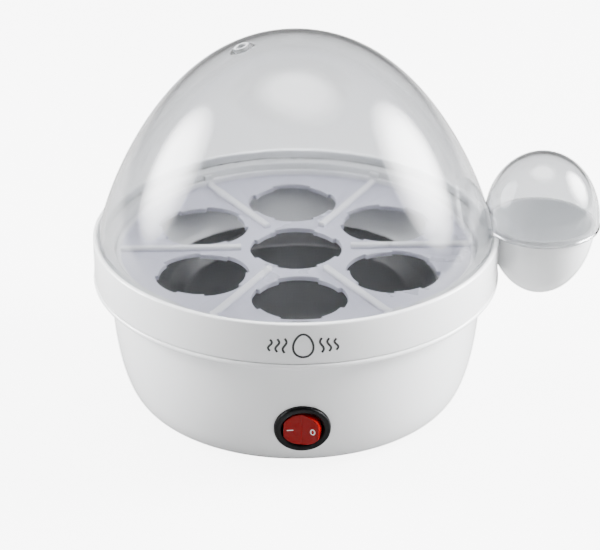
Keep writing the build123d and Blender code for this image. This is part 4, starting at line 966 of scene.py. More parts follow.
# %% Upper housing
TRAY_GAP = 0.6
TRAY_SEAT_WIDTH = 4.0
PLATE_GAP = 0.8
PLATE_SEAT_LAP = 4.4
PLATE_SEAT_THINNING = 0.2   # how much thinner than a wall the plate's seat is
FUNNEL_WALL = 2.0
SEAM_ROUND = 0.35
FACE_START = 9.0            # the section starts on the collar's face, this far above the seam
gasket_low = edge("plate_gasket", 0, "z")
seat_under = gasket_low - WALL + PLATE_SEAT_THINNING
tray_wall = tray_radius + TRAY_GAP
tray_lip = tray_wall - TRAY_SEAT_WIDTH
nest = plate_radius + PLATE_GAP
plate_seat_inner = plate_radius - PLATE_SEAT_LAP

upper = turned("upper_shell", ring_of(
    (collar_radius, rim_top + SEAM + FACE_START),
    (collar_radius, collar_top, 1.0),
    (collar_inner, collar_top, 0.7),
    (collar_inner, lid_seat, 0.5),
    (tray_wall, lid_seat, 0.6),
    (tray_wall, tray_seat, 0.5),
    (tray_lip, tray_seat, 0.8),
    (nest, plate_rim, 0.8),
    (nest, gasket_low),
    (plate_seat_inner, gasket_low, 0.3),
    (plate_seat_inner, seat_under),
    (nest + FUNNEL_WALL, seat_under),
    (nest + FUNNEL_WALL, plate_rim - 1.0),
    (tray_lip + FUNNEL_WALL, tray_seat - FUNNEL_WALL),
    (tray_wall + FUNNEL_WALL, tray_seat - FUNNEL_WALL),
    (tray_wall + FUNNEL_WALL, lid_seat - FUNNEL_WALL),
    (collar_inner, lid_seat - FUNNEL_WALL),
    (collar_inner, rim_top + SEAM),
    (collar_radius, rim_top + SEAM, SEAM_ROUND),
), FINE_TURN)
print("upper shell:", len(upper.data.polygons), "faces")

# %% [markdown]
# ## Side pocket
# The grip's lower half is an open half egg, moulded on to the collar. It is turned about its own axis beside the
# collar, and what would reach into the collar, or over the lower housing's rim, is cut off before the two are
# joined.

# %% Side pocket
POCKET_DEPTH = 34.8
POCKET_WALL = 2.0
POCKET_RIM_ROUND = 0.7
CUT_DEPTH = 20.0            # how far the cutting bars reach below the rim


def pocket_section():
    """The pocket's wall: down the outside, over the rim and down the inside."""
    outer = [(POCKET_RADIUS * r, pocket_rim - POCKET_DEPTH * h) for r, h in bulge(*HALF_EGG, HALF_EGG_STEPS)]
    radius, depth = POCKET_RADIUS - POCKET_WALL, POCKET_DEPTH - POCKET_WALL
    inner = [(radius * r, pocket_rim - depth * h) for r, h in bulge(*HALF_EGG, HALF_EGG_STEPS)]
    rim = section(
        outer[1], (POCKET_RADIUS, pocket_rim, POCKET_RIM_ROUND), (radius, pocket_rim, POCKET_RIM_ROUND), inner[1]
    )
    return outer[:1:-1] + rim + inner[2:]


pocket = shifted(turned("pocket", pocket_section(), GRIP_TURN), grip_offset)
inside_collar = turned(
    "inside_collar", round_bar(collar_radius - WALL / 2, rim_bottom - CUT_DEPTH, pocket_rim + PAST), FINE_TURN
)
inside_rim = turned(
    "inside_rim", round_bar(collar_radius + RIM_OVERHANG + SEAM, rim_bottom - CUT_DEPTH, rim_top + SEAM), FINE_TURN
)
combine(pocket, inside_collar, "DIFFERENCE")
combine(pocket, inside_rim, "DIFFERENCE")
combine(upper, pocket, "UNION")
print("with its pocket:", len(upper.data.polygons), "faces")

# %% [markdown]
# ## Nibs and screw posts
# Four small nibs in the tray's seat fit notches in the tray and keep it from turning. Four posts under the
# plate's seat take the cover's screws. Each is made once and copied round the axis.

# %% Nibs and screw posts
NIB_ANGLES = (60, 120, 240, 300)
NIB_WIDTH = 4.0
NIB_REACH = 1.6
NIB_ROOT = 1.0              # how far a nib reaches into the wall
NIB_TOP_GAP = 1.0           # between a nib's top and the lid's seat
POST_ANGLES = (45, 135, 225, 315)
POST_INSET = 3.5
POST_RADIUS = 3.6
POST_BORE = 1.3
POST_BORE_DEPTH = 11
POST_ROOT = 0.5             # how far a post reaches into the plate's seat
post_low = edge("upper_housing", 0, "z")
post_height = seat_under - post_low + POST_ROOT
post_circle = plate_radius - POST_INSET
nib = extruded(
    "nib", rectangle(0, NIB_REACH + NIB_ROOT, -NIB_WIDTH / 2, NIB_WIDTH / 2), 0, lid_seat - tray_seat - NIB_TOP_GAP
)
combine(upper, copies("nibs", nib, on_circle(tray_wall - NIB_REACH, NIB_ANGLES, tray_seat)), "UNION")
post = turned("post", section(
    (POST_BORE, 0), (POST_RADIUS, 0, 0.3), (POST_RADIUS, post_height), (0, post_height), (0, POST_BORE_DEPTH),
    (POST_BORE, POST_BORE_DEPTH), (POST_BORE, 0),
), POST_TURN)
combine(upper, copies("posts", post, on_circle(post_circle, POST_ANGLES, post_low)), "UNION")
dress(smooth(upper, sharp=34.0), casing_white)
fit(upper, "base", "upper_housing", slot="housing_white")

# %% [markdown]
# ## Lower housing sizes
# The bowl's outline follows the same kind of rule as the dome, drawn in towards the table. Its rim closes the
# collar from below and shows as a thin bead. Inside, a ledge above the skirt carries the bottom cover.

# %% Lower housing sizes
BOWL_STEP = 7.0             # the bowl's top, inside the collar's face
BOWL_TAPER = 11.8           # how far the bowl draws in from its top to its base
BOWL_CURVE = (2.15, 1.91)   # the exponents of its outline
BOWL_STEPS = 48
SKIRT_LIP = 2.2
LEDGE_WIDTH = 4.5
LEDGE_THICKNESS = 2.0
SPIGOT_GAP = 0.4
bowl_top = collar_radius - BOWL_STEP
bowl_base = bowl_top - BOWL_TAPER
cover_top = edge("bottom_cover", 1, "z")
ledge_top = cover_top + LEDGE_THICKNESS


def bowl_radius(z, inset):
    """The bowl's radius at a level, drawn in by an inset."""
    p, q = BOWL_CURVE
    share = min(1.0, max(0.0, (rim_bottom - z) / (rim_bottom - skirt - inset)))
    return bowl_base - inset + BOWL_TAPER * (1 - share**p) ** (1 / q)


def bowl_edge():
    """The bowl's outline from its rim down to the skirt."""
    depth = rim_bottom - skirt
    return [(bowl_base + BOWL_TAPER * r, rim_bottom - depth * h) for r, h in bulge(*BOWL_CURVE, BOWL_STEPS)]


print("bowl", bowl_top, "mm at its rim and", bowl_base, "mm at its base")

# %% [markdown]
# ## Bowl
# One closed section gives the whole wall: down the outside, under the skirt, round the ledge, up the inside and
# round the spigot that stands in the collar. The inner wall's levels lie closer together near the ledge, where it
# curves most.

# %% Bowl
INNER_STEPS = 16
INNER_CROWDING = 1.5
RIM_ROUND = 0.9
SPIGOT_ROUND = 0.4
LEDGE_ROUND = 0.3
spigot_outer = collar_inner - SPIGOT_GAP
spigot_inner = spigot_outer - SPIGOT_WALL
skirt_inner = bowl_base - SKIRT_LIP
ledge_inner = skirt_inner - LEDGE_WIDTH
rim_outer = collar_radius + RIM_OVERHANG
shares = [(i / INNER_STEPS) ** INNER_CROWDING for i in range(INNER_STEPS + 1)]
inner_heights = [ledge_top + (rim_bottom - ledge_top) * share for share in shares]
inner_wall = [(bowl_radius(z, WALL), z) for z in inner_heights]
foot = section(
    bowl_edge()[-2],
    (bowl_base, skirt),
    (skirt_inner, skirt, 0.4),
    (skirt_inner, cover_top),
    (ledge_inner, cover_top, LEDGE_ROUND),
    (ledge_inner, ledge_top, LEDGE_ROUND),
    inner_wall[0],
)[1:-1]
rim = section(
    inner_wall[-1],
    (bowl_top - WALL, rim_top),
    (spigot_inner, rim_top),
    (spigot_inner, rim_top + SPIGOT_HEIGHT, SPIGOT_ROUND),
    (spigot_outer, rim_top + SPIGOT_HEIGHT, SPIGOT_ROUND),
    (spigot_outer, rim_top),
    (rim_outer, rim_top, RIM_ROUND),
    (rim_outer, rim_bottom, RIM_ROUND),
    (bowl_top, rim_bottom),
    bowl_edge()[0],
)[1:-1]
bowl = turned("lower_shell", bowl_edge() + foot + inner_wall + rim, FINE_TURN)
print("bowl:", len(bowl.data.polygons), "faces")

# %% [markdown]
# ## The switch's own frame
# The switch leans with the bowl's wall, and its axis comes from the rocker's joint. Everything round the switch is
# drawn in a frame whose third axis points out of the wall, and one matrix carries it to its place.

# %% The switch's own frame
PIVOT_SINK = 2.0            # the pivot's depth under the wall's surface
tilt_joint = next(joint for joint in frame["joints"] if joint["name"] == "rocker_tilt")
switch_v = Vector(tilt_joint["axis"]).normalized()
switch_u = Vector((1, 0, 0))
switch_w = switch_u.cross(switch_v)
switch_origin = Vector(tilt_joint["pos_m"]) + switch_w * PIVOT_SINK * MM
switch_turn = Matrix((switch_u, switch_v, switch_w)).transposed().to_4x4()
switch_matrix = Matrix.Translation(switch_origin) @ switch_turn
print("switch at", switch_origin, "facing", switch_w)

# %% [markdown]
# ## Seat for the switch
# A round switch can't close a curved wall, so the moulding has a flat pad behind the wall, a sunk seat for the
# bezel and a hole for the barrel. The pad is first trimmed to the bowl's filled shape, so nothing of it shows
# outside.

# %% Seat for the switch
BEZEL_RADIUS = 12.0
BEZEL_SINK = 1.2
BARREL_RADIUS = 9.7
SWITCH_GAP = 0.2
PAD_RADIUS = 15.0
PAD_THICKNESS = 4.6
SEAT_REACH = 6.0            # how far the tools reach out of the wall, and into it
BARREL_REACH = 12.0
HOLE_TURN = 96
filled = turned("bowl_filled", [(0, rim_bottom)] + bowl_edge() + [(0, skirt)], FINE_TURN)
pad = turned("pad", round_bar(PAD_RADIUS, -PAD_THICKNESS, PAD_THICKNESS), SMALL_TURN)
combine(moved(pad, switch_matrix), filled, "INTERSECT")
combine(bowl, pad, "UNION")
recess = turned("recess", round_bar(BEZEL_RADIUS + SWITCH_GAP, -BEZEL_SINK, SEAT_REACH), HOLE_TURN)
combine(bowl, moved(recess, switch_matrix), "DIFFERENCE")
barrel_hole = turned("barrel_hole", round_bar(BARREL_RADIUS + SWITCH_GAP, -BARREL_REACH, BARREL_REACH), HOLE_TURN)
combine(bowl, moved(barrel_hole, switch_matrix), "DIFFERENCE")
print("with the switch's seat:", len(bowl.data.polygons), "faces")

# %% [markdown]
# ## Cord inlet
# At the back a round boss carries the inlet bush. Its length follows from the bush: the nut sits inside the wall
# and the flange outside.

# %% Cord inlet
INLET_BOSS_RADIUS = 9.5
INLET_BOSS_ROUND = 0.3
INLET_BUSH_RADIUS = 5.6
INLET_GAP = 0.15
INLET_NUT = 2.6
INLET_FLANGE = 1.8
inlet_z = (edge("cord_gland", 0, "z") + edge("cord_gland", 1, "z")) / 2
inlet_matrix = Matrix.Translation((0, 0, inlet_z * MM)) @ Matrix.Rotation(-pi / 2, 4, "X")
boss_low, boss_high = edge("cord_gland", 0, "y") + INLET_NUT, edge("cord_gland", 1, "y") - INLET_FLANGE
boss = turned("boss", section(
    (0, boss_low), (INLET_BOSS_RADIUS, boss_low), (INLET_BOSS_RADIUS, boss_high, INLET_BOSS_ROUND), (0, boss_high),
), SMALL_TURN)
combine(bowl, moved(boss, inlet_matrix), "UNION")
inlet_hole = turned(
    "inlet_hole", round_bar(INLET_BUSH_RADIUS + INLET_GAP, boss_low - PAST, boss_high + PAST), BORE_TURN
)
combine(bowl, moved(inlet_hole, inlet_matrix), "DIFFERENCE")
dress(smooth(bowl, sharp=34.0), casing_white)
fit(bowl, "base", "lower_housing", slot="housing_white")

# %% [markdown]
# ## Seats and ribs of the egg tray
# Each seat is a round hole with four wider slots that let the steam past the egg. It is drawn as one outline that
# runs round at two radii. A rib has a rounded back, so it is a small section pulled along its length and then
# stood up along X by a matrix that swaps the axes.

# %% Seats and ribs of the egg tray
TRAY_THICKNESS = 2.0
TRAY_RIM_WIDTH = 1.8
EGG_HOLE = 18.9
EGG_SLOT_DEPTH = 1.7
EGG_SLOT_ANGLE = 54.0
QUARTER = 90.0
SLOT_STEPS = 12
HOLE_STEPS = 10
RIB_WIDTH = 3.0
RIB_HEIGHT = 2.2
RIB_ROUND = 0.9
RIB_SINK = 0.5              # how far a rib reaches into the tray, so that the two join
RIB_MARGIN = 5.6            # between the middle seat and a rib
rib_start = EGG_HOLE + RIB_MARGIN


def seat_outline(turn=0.0):
    """A round hole with four wider slots, one of them towards +X before it is turned."""
    points = []
    for quarter in range(4):
        middle = QUARTER * quarter + turn
        for k in range(SLOT_STEPS + 1):
            angle = middle - EGG_SLOT_ANGLE / 2 + EGG_SLOT_ANGLE * k / SLOT_STEPS
            points.append((EGG_HOLE + EGG_SLOT_DEPTH, angle))
        for k in range(HOLE_STEPS + 1):
            angle = middle + EGG_SLOT_ANGLE / 2 + (QUARTER - EGG_SLOT_ANGLE) * k / HOLE_STEPS
            points.append((EGG_HOLE, angle))
    return [(r * cos(radians(a)), r * sin(radians(a))) for r, a in points]


def rib_piece():
    """One rib along +X, with a rounded back, from its inner end to the rim."""
    length = tray_radius - TRAY_RIM_WIDTH / 2 - rib_start
    half = RIB_WIDTH / 2
    back = section(
        (-half, -RIB_SINK), (-half, RIB_HEIGHT, RIB_ROUND), (half, RIB_HEIGHT, RIB_ROUND), (half, -RIB_SINK),
        steps=5,
    )
    rib = extruded("rib", [(point[0], point[1]) for point in back], 0, length)
    return moved(rib, Matrix(((0, 0, 1, 0), (1, 0, 0, 0), (0, 1, 0, 0), (0, 0, 0, 1))))


print("a seat's outline has", len(seat_outline()), "points")

# %% [markdown]
# ## Egg tray
# A flat moulding with seven seats, six ribs between them and a raised rim. Seats and ribs are copies made by the
# tree, joined before they are cut, so that no rib crosses a seat. The edges are rounded at the end, because thin
# moulded plastic never has a sharp one.

# %% Egg tray
EGG_WEB = 10.2              # between the middle seat and the outer ones
OUTER_SEATS = [60 * i + 30 for i in range(6)]
RIB_ANGLES = [60 * i for i in range(6)]
TRAY_RIM_ROUND = 0.6
NIB_GAP = 0.5
NOTCH_HEIGHT = 10
EDGE_SOFTENING = 0.3
egg_circle = 2 * EGG_HOLE + EGG_WEB
tray_top = tray_seat + TRAY_THICKNESS
tray_rim_inner = tray_radius - TRAY_RIM_WIDTH
tray = turned("tray_plate", section(
    (0, tray_seat), (tray_radius, tray_seat, 0.5), (tray_radius, tray_rim, TRAY_RIM_ROUND),
    (tray_rim_inner, tray_rim, TRAY_RIM_ROUND), (tray_rim_inner, tray_top, TRAY_RIM_ROUND), (0, tray_top),
), FINE_TURN)
ribs = copies("ribs", rib_piece(), on_circle(rib_start, RIB_ANGLES, tray_top))
combine(tray, ribs, "UNION")
seat = extruded("seat", seat_outline(), -PAST, TRAY_THICKNESS + PAST)
combine(tray, copies("seats", seat, on_circle(egg_circle, OUTER_SEATS, tray_seat)), "DIFFERENCE")
middle_seat = extruded("middle_seat", seat_outline(-QUARTER), tray_seat - PAST, tray_top + PAST)
combine(tray, middle_seat, "DIFFERENCE")
notch_half = NIB_WIDTH / 2 + NIB_GAP
notch_depth = NIB_REACH - TRAY_GAP + NIB_GAP
notch = extruded("notch", rectangle(-notch_depth, PAST, -notch_half, notch_half), -PAST, NOTCH_HEIGHT)
combine(tray, copies("notches", notch, on_circle(tray_radius, NIB_ANGLES, tray_seat)), "DIFFERENCE")
soften(tray, EDGE_SOFTENING, steps=2, angle=55.0)
dress(smooth(tray, sharp=40.0), tray_milky)
fit(tray, "tray", "egg_tray", slot="tray_white")

# %% [markdown]
# ## Heating plate
# The plate is pressed from sheet, so inside and outside are the same line a sheet's thickness apart, with soft
# bends where the press turned it.

# %% Heating plate
PLATE_SHEET = 1.4
PLATE_RIM_WIDTH = 7.0
PLATE_SLOPE = 6.0
PLATE_BEND = 2.5
PLATE_EDGE_ROUND = 0.4
plate_top = plate_under + PLATE_SHEET
plate_rim_under = plate_rim - PLATE_SHEET
cone = plate_radius - PLATE_RIM_WIDTH
flat = cone - PLATE_SLOPE
plate = turned("plate_dish", section(
    (0, plate_top),
    (flat, plate_top, PLATE_BEND),
    (cone, plate_rim, PLATE_BEND),
    (plate_radius, plate_rim, PLATE_EDGE_ROUND),
    (plate_radius, plate_rim_under, PLATE_EDGE_ROUND),
    (cone + PLATE_SHEET / 2, plate_rim_under, PLATE_BEND),
    (flat + PLATE_SHEET / 2, plate_under, PLATE_BEND),
    (0, plate_under),
    steps=8,
), PLATE_TURN)
dress(plate, plate_coating)
fit(plate, "base", "heating_plate", slot="plate_coating")

# %% [markdown]
# ## Gasket
# A flat silicone ring seals the plate's rim in its seat. It is a turned rectangle with rounded corners.

# %% Gasket
GASKET_ROUND = 0.3
GASKET_START = 2.0          # the section starts on the underside, this far from the ring's inner edge
gasket_high = edge("plate_gasket", 1, "z")
gasket = turned("gasket_ring", ring_of(
    (plate_seat_inner + GASKET_START, gasket_low),
    (plate_radius, gasket_low, GASKET_ROUND),
    (plate_radius, gasket_high, GASKET_ROUND),
    (plate_seat_inner, gasket_high, GASKET_ROUND),
    (plate_seat_inner, gasket_low, GASKET_ROUND),
), PLATE_TURN)
dress(gasket, silicone)
fit(gasket, "base", "plate_gasket", slot="silicone")

# %% [markdown]
# ## Bottom cover
# The cover is a disc with two rows of vent slots, sunk wells for the screws and holes for the feet. Slots, wells
# and holes are each one cutter that the tree sets down several times.

# %% Bottom cover
SLOT_WIDTH, SLOT_LENGTH, SLOT_PITCH, SLOT_COUNT, SLOT_OFFSET = 2.4, 22.0, 6.0, 5, 33.0
SLOT_REACH = 8.0
COVER_ROUND = 0.5
SCREW_HEAD = 2.8
SCREW_HEAD_GAP = 0.3
SCREW_WELL = 0.8            # how deep the well is sunk into the cover
SCREW_HOLE = 1.7
FOOT_PLUG = 2.6
FOOT_PLUG_GAP = 0.1
FOOT_ANGLES = (30, 150, 210, 330)
FOOT_INSET = 11.5
CUT_BELOW, CUT_ABOVE = -1, 6
cover_low = edge("bottom_cover", 0, "z")
cover_edge = edge("bottom_cover", 1, "x")
foot_circle = cover_edge - FOOT_INSET


def slot_outline(steps=8):
    """A slot with round ends along Y."""
    radius, reach = SLOT_WIDTH / 2, (SLOT_LENGTH - SLOT_WIDTH) / 2
    upper_end = [(radius * cos(pi * k / steps), reach + radius * sin(pi * k / steps)) for k in range(steps + 1)]
    return upper_end + [(-x, -y) for x, y in upper_end]


base_plate = turned("cover_plate", section(
    (0, cover_low), (cover_edge, cover_low, COVER_ROUND), (cover_edge, cover_top, COVER_ROUND), (0, cover_top),
), PLATE_TURN)
middle = (SLOT_COUNT - 1) / 2
slot_places = [
    (side * SLOT_OFFSET + (i - middle) * SLOT_PITCH, 0, cover_low) for side in (-1, 1) for i in range(SLOT_COUNT)
]
slot = extruded("slot", slot_outline(), -PAST, SLOT_REACH)
combine(base_plate, copies("slots", slot, slot_places, outwards=0.0), "DIFFERENCE")
screw_well = turned("screw_well", section(
    (0, CUT_BELOW), (SCREW_HEAD + SCREW_HEAD_GAP, CUT_BELOW), (SCREW_HEAD + SCREW_HEAD_GAP, SCREW_WELL),
    (SCREW_HOLE, SCREW_WELL), (SCREW_HOLE, CUT_ABOVE), (0, CUT_ABOVE),
), POST_TURN)
combine(base_plate, copies("wells", screw_well, on_circle(post_circle, POST_ANGLES, cover_low)), "DIFFERENCE")
plug_hole = turned("plug_hole", round_bar(FOOT_PLUG + FOOT_PLUG_GAP, CUT_BELOW, CUT_ABOVE), POST_TURN)
combine(base_plate, copies("plug_holes", plug_hole, on_circle(foot_circle, FOOT_ANGLES, cover_low)), "DIFFERENCE")
dress(smooth(base_plate, sharp=34.0), casing_white)
fit(base_plate, "base", "bottom_cover", slot="housing_white")

# %% [markdown]
# ## Screws
# Four pan-head screws hold the cover. A thread on them would never be seen, so the shank is plain, and the cross
# recess is two crossed bars cut out of the head.

# %% Screws
SCREW_HEAD_HEIGHT = 1.6
SCREW_HEAD_ROUND = 0.7
SCREW_SHANK = 1.25
SCREW_TURN = 28
SCREW_TIP = 1.2             # how far the shank ends short of the point
CROSS_HALF_SPAN = 1.5
CROSS_HALF_WIDTH = 0.3
CROSS_DEPTH = 0.8
screw_seat = cover_low + SCREW_HEAD_HEIGHT / 2
screw_low = screw_seat - SCREW_HEAD_HEIGHT
screw_high = edge("cover_screws", 1, "z")
screw = turned("screw", section(
    (0, screw_low), (SCREW_HEAD, screw_low, SCREW_HEAD_ROUND), (SCREW_HEAD, screw_seat, 0.1),
    (SCREW_SHANK, screw_seat), (SCREW_SHANK, screw_high - SCREW_TIP, 0.2), (0, screw_high),
), SCREW_TURN)
span, width = CROSS_HALF_SPAN, CROSS_HALF_WIDTH
cross_low, cross_high = screw_low - 1, screw_low + CROSS_DEPTH
cross = extruded("cross", rectangle(-span, span, -width, width), cross_low, cross_high)
combine(cross, extruded("cross_bar", rectangle(-width, width, -span, span), cross_low, cross_high), "UNION")
combine(screw, cross, "DIFFERENCE")
screws = copies("screws", screw, on_circle(post_circle, POST_ANGLES, 0), material=zinc_steel)
fit(screws, "base", "cover_screws", slot="steel")

# %% [markdown]
# ## Feet
# Four rubber feet are pushed through the cover. Each is one turned section: a pad with a shallow ring groove on
# the table, a plug, and a catch that is wider than its hole.

# %% Feet
FOOT_RADIUS = 6.5
FOOT_GROOVE = (1.6, 0.9)    # its two edges, inside the pad's radius
FOOT_GROOVE_DEPTH = 0.35
FOOT_CATCH = 0.3
FOOT_TIP_SHARE = 0.6        # the tip's radius as a share of the plug's
groove_inner, groove_outer = (FOOT_RADIUS - inset for inset in FOOT_GROOVE)
foot_high = edge("rubber_feet", 1, "z")
foot_piece = turned("foot", section(
    (0, 0),
    (groove_inner, 0),
    (groove_inner, FOOT_GROOVE_DEPTH),
    (groove_outer, FOOT_GROOVE_DEPTH),
    (groove_outer, 0),
    (FOOT_RADIUS, 0, 0.8),
    (FOOT_RADIUS, cover_low, 0.4),
    (FOOT_PLUG, cover_low),
    (FOOT_PLUG, cover_top),
    (FOOT_PLUG + FOOT_CATCH, cover_top, 0.1),
    (FOOT_PLUG * FOOT_TIP_SHARE, foot_high, 0.3),
    (0, foot_high),
), BORE_TURN)
feet = copies("feet", foot_piece, on_circle(foot_circle, FOOT_ANGLES, 0), material=foot_rubber)
fit(feet, "base", "rubber_feet", slot="foot_rubber")

# %% [markdown]
# ## Pieces that keep their CAD shape
# The switch, the heater, the thermostat, the leads and the small hardware already have their real shapes. A CAD
# mesh is loose triangles, which shade flat, so each of these is a merged copy that shades smoothly, with its own
# finish. Building them once more from sections would add nothing that can be seen.


# %% Merged copies
COPY_SHARP = 32.0           # corners over this angle, in degrees, stay crisp


def merged_copy(node, body, material, slot):
    """A smooth copy of a CAD node, which stands for the node."""
    copy = new_object(node + "_smooth", frame["nodes"][node].data.copy())
    dress(smooth(copy, sharp=COPY_SHARP), material)
    return fit(copy, body, node, slot=slot)


BASE_COPIES = {
    "switch_housing": (switch_black, "switch_black"),
    "cord_gland": (fitting_white, "gland_white"),
    "gland_ring": (fitting_white, "gland_white"),
    "terminal_block": (fitting_white, "gland_white"),
    "rating_label": (label_foil, "label_silver"),
    "plate_stud": (zinc_steel, "steel"),
    "plate_spider": (zinc_steel, "steel"),
    "spider_washer": (zinc_steel, "steel"),
    "spider_nut": (zinc_steel, "steel"),
    "heater_casting": (cast_aluminium, "cast_aluminium"),
    "heating_element": (heated_steel, "element_sheath"),
    "element_pins": (zinc_steel, "steel"),
    "thermostat_cup": (cast_aluminium, "cast_aluminium"),
    "thermostat_body": (phenolic, "phenolic"),
    "thermostat_bracket": (zinc_steel, "steel"),
    "thermostat_screws": (zinc_steel, "steel"),
    "thermostat_terminals": (brass, "brass"),
    "thermal_fuse": (fuse_sleeve, "fuse_sleeve"),
    "switch_terminals": (brass, "brass"),
    "fixed_contact": (brass, "brass"),
    "terminal_tubes": (brass, "brass"),
    "terminal_screws": (zinc_steel, "steel"),
    "earth_tag": (zinc_steel, "steel"),
    "live_wire": (wire_brown, "wire_brown"),
    "switched_wire": (wire_black, "wire_black"),
    "heater_wire": (wire_red, "wire_red"),
    "neutral_wire": (wire_blue, "wire_blue"),
    "earth_wire": (wire_earth, "wire_green_yellow"),
}
for node, (material, slot_name) in BASE_COPIES.items():
    merged_copy(node, "base", material, slot_name)

# %% [markdown]
# ## Moving parts of the switch
# The plunger, its spring and the lamp are inside the rocker and tilt with it. The contact arm tilts the other way
# on its own seat, so it rides on a body of its own.

# %% Moving parts of the switch
ROCKER_COPIES = {
    "switch_rocker": (rocker_red, "rocker_red"),
    "switch_plunger": (brass, "brass"),
    "switch_spring": (zinc_steel, "steel"),
    "pilot_lamp": (lamp_glass, "lamp_glass"),
}
for node, (material, slot_name) in ROCKER_COPIES.items():
    merged_copy(node, "rocker", material, slot_name)
merged_copy("contact_arm", "contact_arm", brass, "brass")

# %% [markdown]
# ## Ribbons of print
# The collar carries a small pad-printed picture, and the rocker has the usual line and ring. A picture file could
# hold them, but ink has a thickness one can feel, so each mark is a thin ribbon of faces along a line, laid on
# the surface and given a depth.


# %% Ribbons of print
def ribbon(name, lines, width, depth, lay, material):
    """Lines of (x, y) points in mm as raised ribbons; lay(x, y, height) puts a point on the surface, in metres."""
    work = bmesh.new()
    for line, closed in lines:
        count = len(line)
        sides = []
        for i, point in enumerate(line):
            before = Vector(line[(i - 1) % count] if closed or i else point)
            after = Vector(line[(i + 1) % count] if closed or i < count - 1 else point)
            along = (after - before).normalized()
            across = Vector((-along.y, along.x)) * width / 2
            here = Vector(point)
            corners = []
            for side, height in ((1, 0.0), (1, depth), (-1, depth), (-1, 0.0)):
                spot = here + across * side
                corners.append(work.verts.new(lay(spot.x, spot.y, height)))
            sides.append(corners)
        last = count if closed else count - 1
        for i in range(last):
            a, b = sides[i], sides[(i + 1) % count]
            for k in range(4):
                work.faces.new((a[k], a[(k + 1) % 4], b[(k + 1) % 4], b[k]))
        if not closed:
            work.faces.new(sides[0])
            work.faces.new(sides[-1])
    bmesh.ops.recalc_face_normals(work, faces=work.faces)
    mesh = bpy.data.meshes.new(name)
    work.to_mesh(mesh)
    work.free()
    return dress(smooth(new_object(name, mesh), sharp=40.0), material)


print("helper ready: ribbon")

# %% [markdown]
# ## Egg and steam on the collar
# The picture says what the cooker does: an egg between wisps of steam. It is drawn flat, in millimetres, and then
# wrapped round the collar, where a distance along the drawing becomes an angle.

# %% Egg and steam on the collar
PRINT_LIFT = 0.02           # keeps the ink's underside clear of the casing
PRINT_DEPTH = 0.08
PRINT_DROP = 0.6
PRINT_LINE = 0.95           # the line's width
EGG_SIZE = (8.2, 10.6)
EGG_NARROWING = 0.16
EGG_STEPS = 40
STEAM_PLACES = (7.6, 10.6, 13.6)
STEAM_HEIGHT = 8.6
STEAM_SHORTENING = 0.24     # each wisp is shorter by this share of its distance from the picture's middle
STEAM_SWAY = 0.8
STEAM_STEPS = 18
print_centre = (rim_top + SEAM + collar_top) / 2 - PRINT_DROP


def on_collar(x, y, height):
    """A point of the print, wrapped round the collar at the front."""
    radius = collar_radius + PRINT_LIFT + height
    angle = x / collar_radius
    return Vector((radius * sin(angle), -radius * cos(angle), print_centre + y)) * MM


def egg_line(width, height):
    """An egg's outline, blunt end down."""
    turns = [2 * pi * k / EGG_STEPS for k in range(EGG_STEPS)]
    return [(width / 2 * cos(t) * (1.0 - EGG_NARROWING * sin(t)), height / 2 * sin(t)) for t in turns]


def steam_line(x, side):
    """A wisp that sways once, at x on one side of the egg."""
    height = STEAM_HEIGHT - STEAM_SHORTENING * x
    shares = [k / STEAM_STEPS for k in range(STEAM_STEPS + 1)]
    return [(side * (x + STEAM_SWAY * sin(2 * pi * share)), height * (share - 0.5)) for share in shares]


egg_mark = [(egg_line(*EGG_SIZE), True)]
steam_marks = [(steam_line(x, side), False) for side in (-1, 1) for x in STEAM_PLACES]
picture = ribbon("print_picture", egg_mark + steam_marks, PRINT_LINE, PRINT_DEPTH, on_collar, print_black)
fit(picture, "base", slot="switch_black")

# %% [markdown]
# ## Marks on the rocker
# The rocker has two faces that meet in a shallow dip, so a mark's height grows with its distance from the middle.
# The rocker rests tilted, and the marks are turned with it before they are carried to the wall.

# %% Marks on the rocker
ROCKER_REST = radians(-9.0)
FACE_SLOPE = radians(9.0)
FACE_RISE = 1.2 * tan(FACE_SLOPE)   # a little steeper than the face, so that no mark sinks into it
DIP_OVER_PIVOT = 2.7
MARK_LINE = 0.45            # the line's width
MARK_DEPTH = 0.05
RING_CENTRE, RING_WIDTH, RING_HEIGHT, RING_STEPS = 4.9, 0.9, 1.35, 28
LINE_PLACES = (-6.0, -4.7, -3.4)


def on_rocker(x, y, height):
    """A point on one of the rocker's two faces, in metres."""
    face = DIP_OVER_PIVOT + abs(x) * FACE_RISE + height + PRINT_LIFT
    turned_x = x * cos(ROCKER_REST) + face * sin(ROCKER_REST)
    turned_w = -x * sin(ROCKER_REST) + face * cos(ROCKER_REST)
    return switch_matrix @ (Vector((turned_x, y, turned_w - PIVOT_SINK)) * MM)


ring_turns = [2 * pi * k / RING_STEPS for k in range(RING_STEPS)]
ring_mark = [([(RING_CENTRE + RING_WIDTH * cos(t), RING_HEIGHT * sin(t)) for t in ring_turns], True)]
line_mark = [([(x, 0.0) for x in LINE_PLACES], False)]
marks = ribbon("print_marks", ring_mark + line_mark, MARK_LINE, MARK_DEPTH, on_rocker, print_white)
fit(marks, "rocker", slot="rocker_red")

# %% [markdown]
# ## Floor
# The cooker stands on a large sheet. A sheet bright enough to look white would light the casing from below as much
# as the lamps do from above, so the sheet itself is grey, and only what the camera sees of it directly glows. The
# Light Path node tells the two apart.

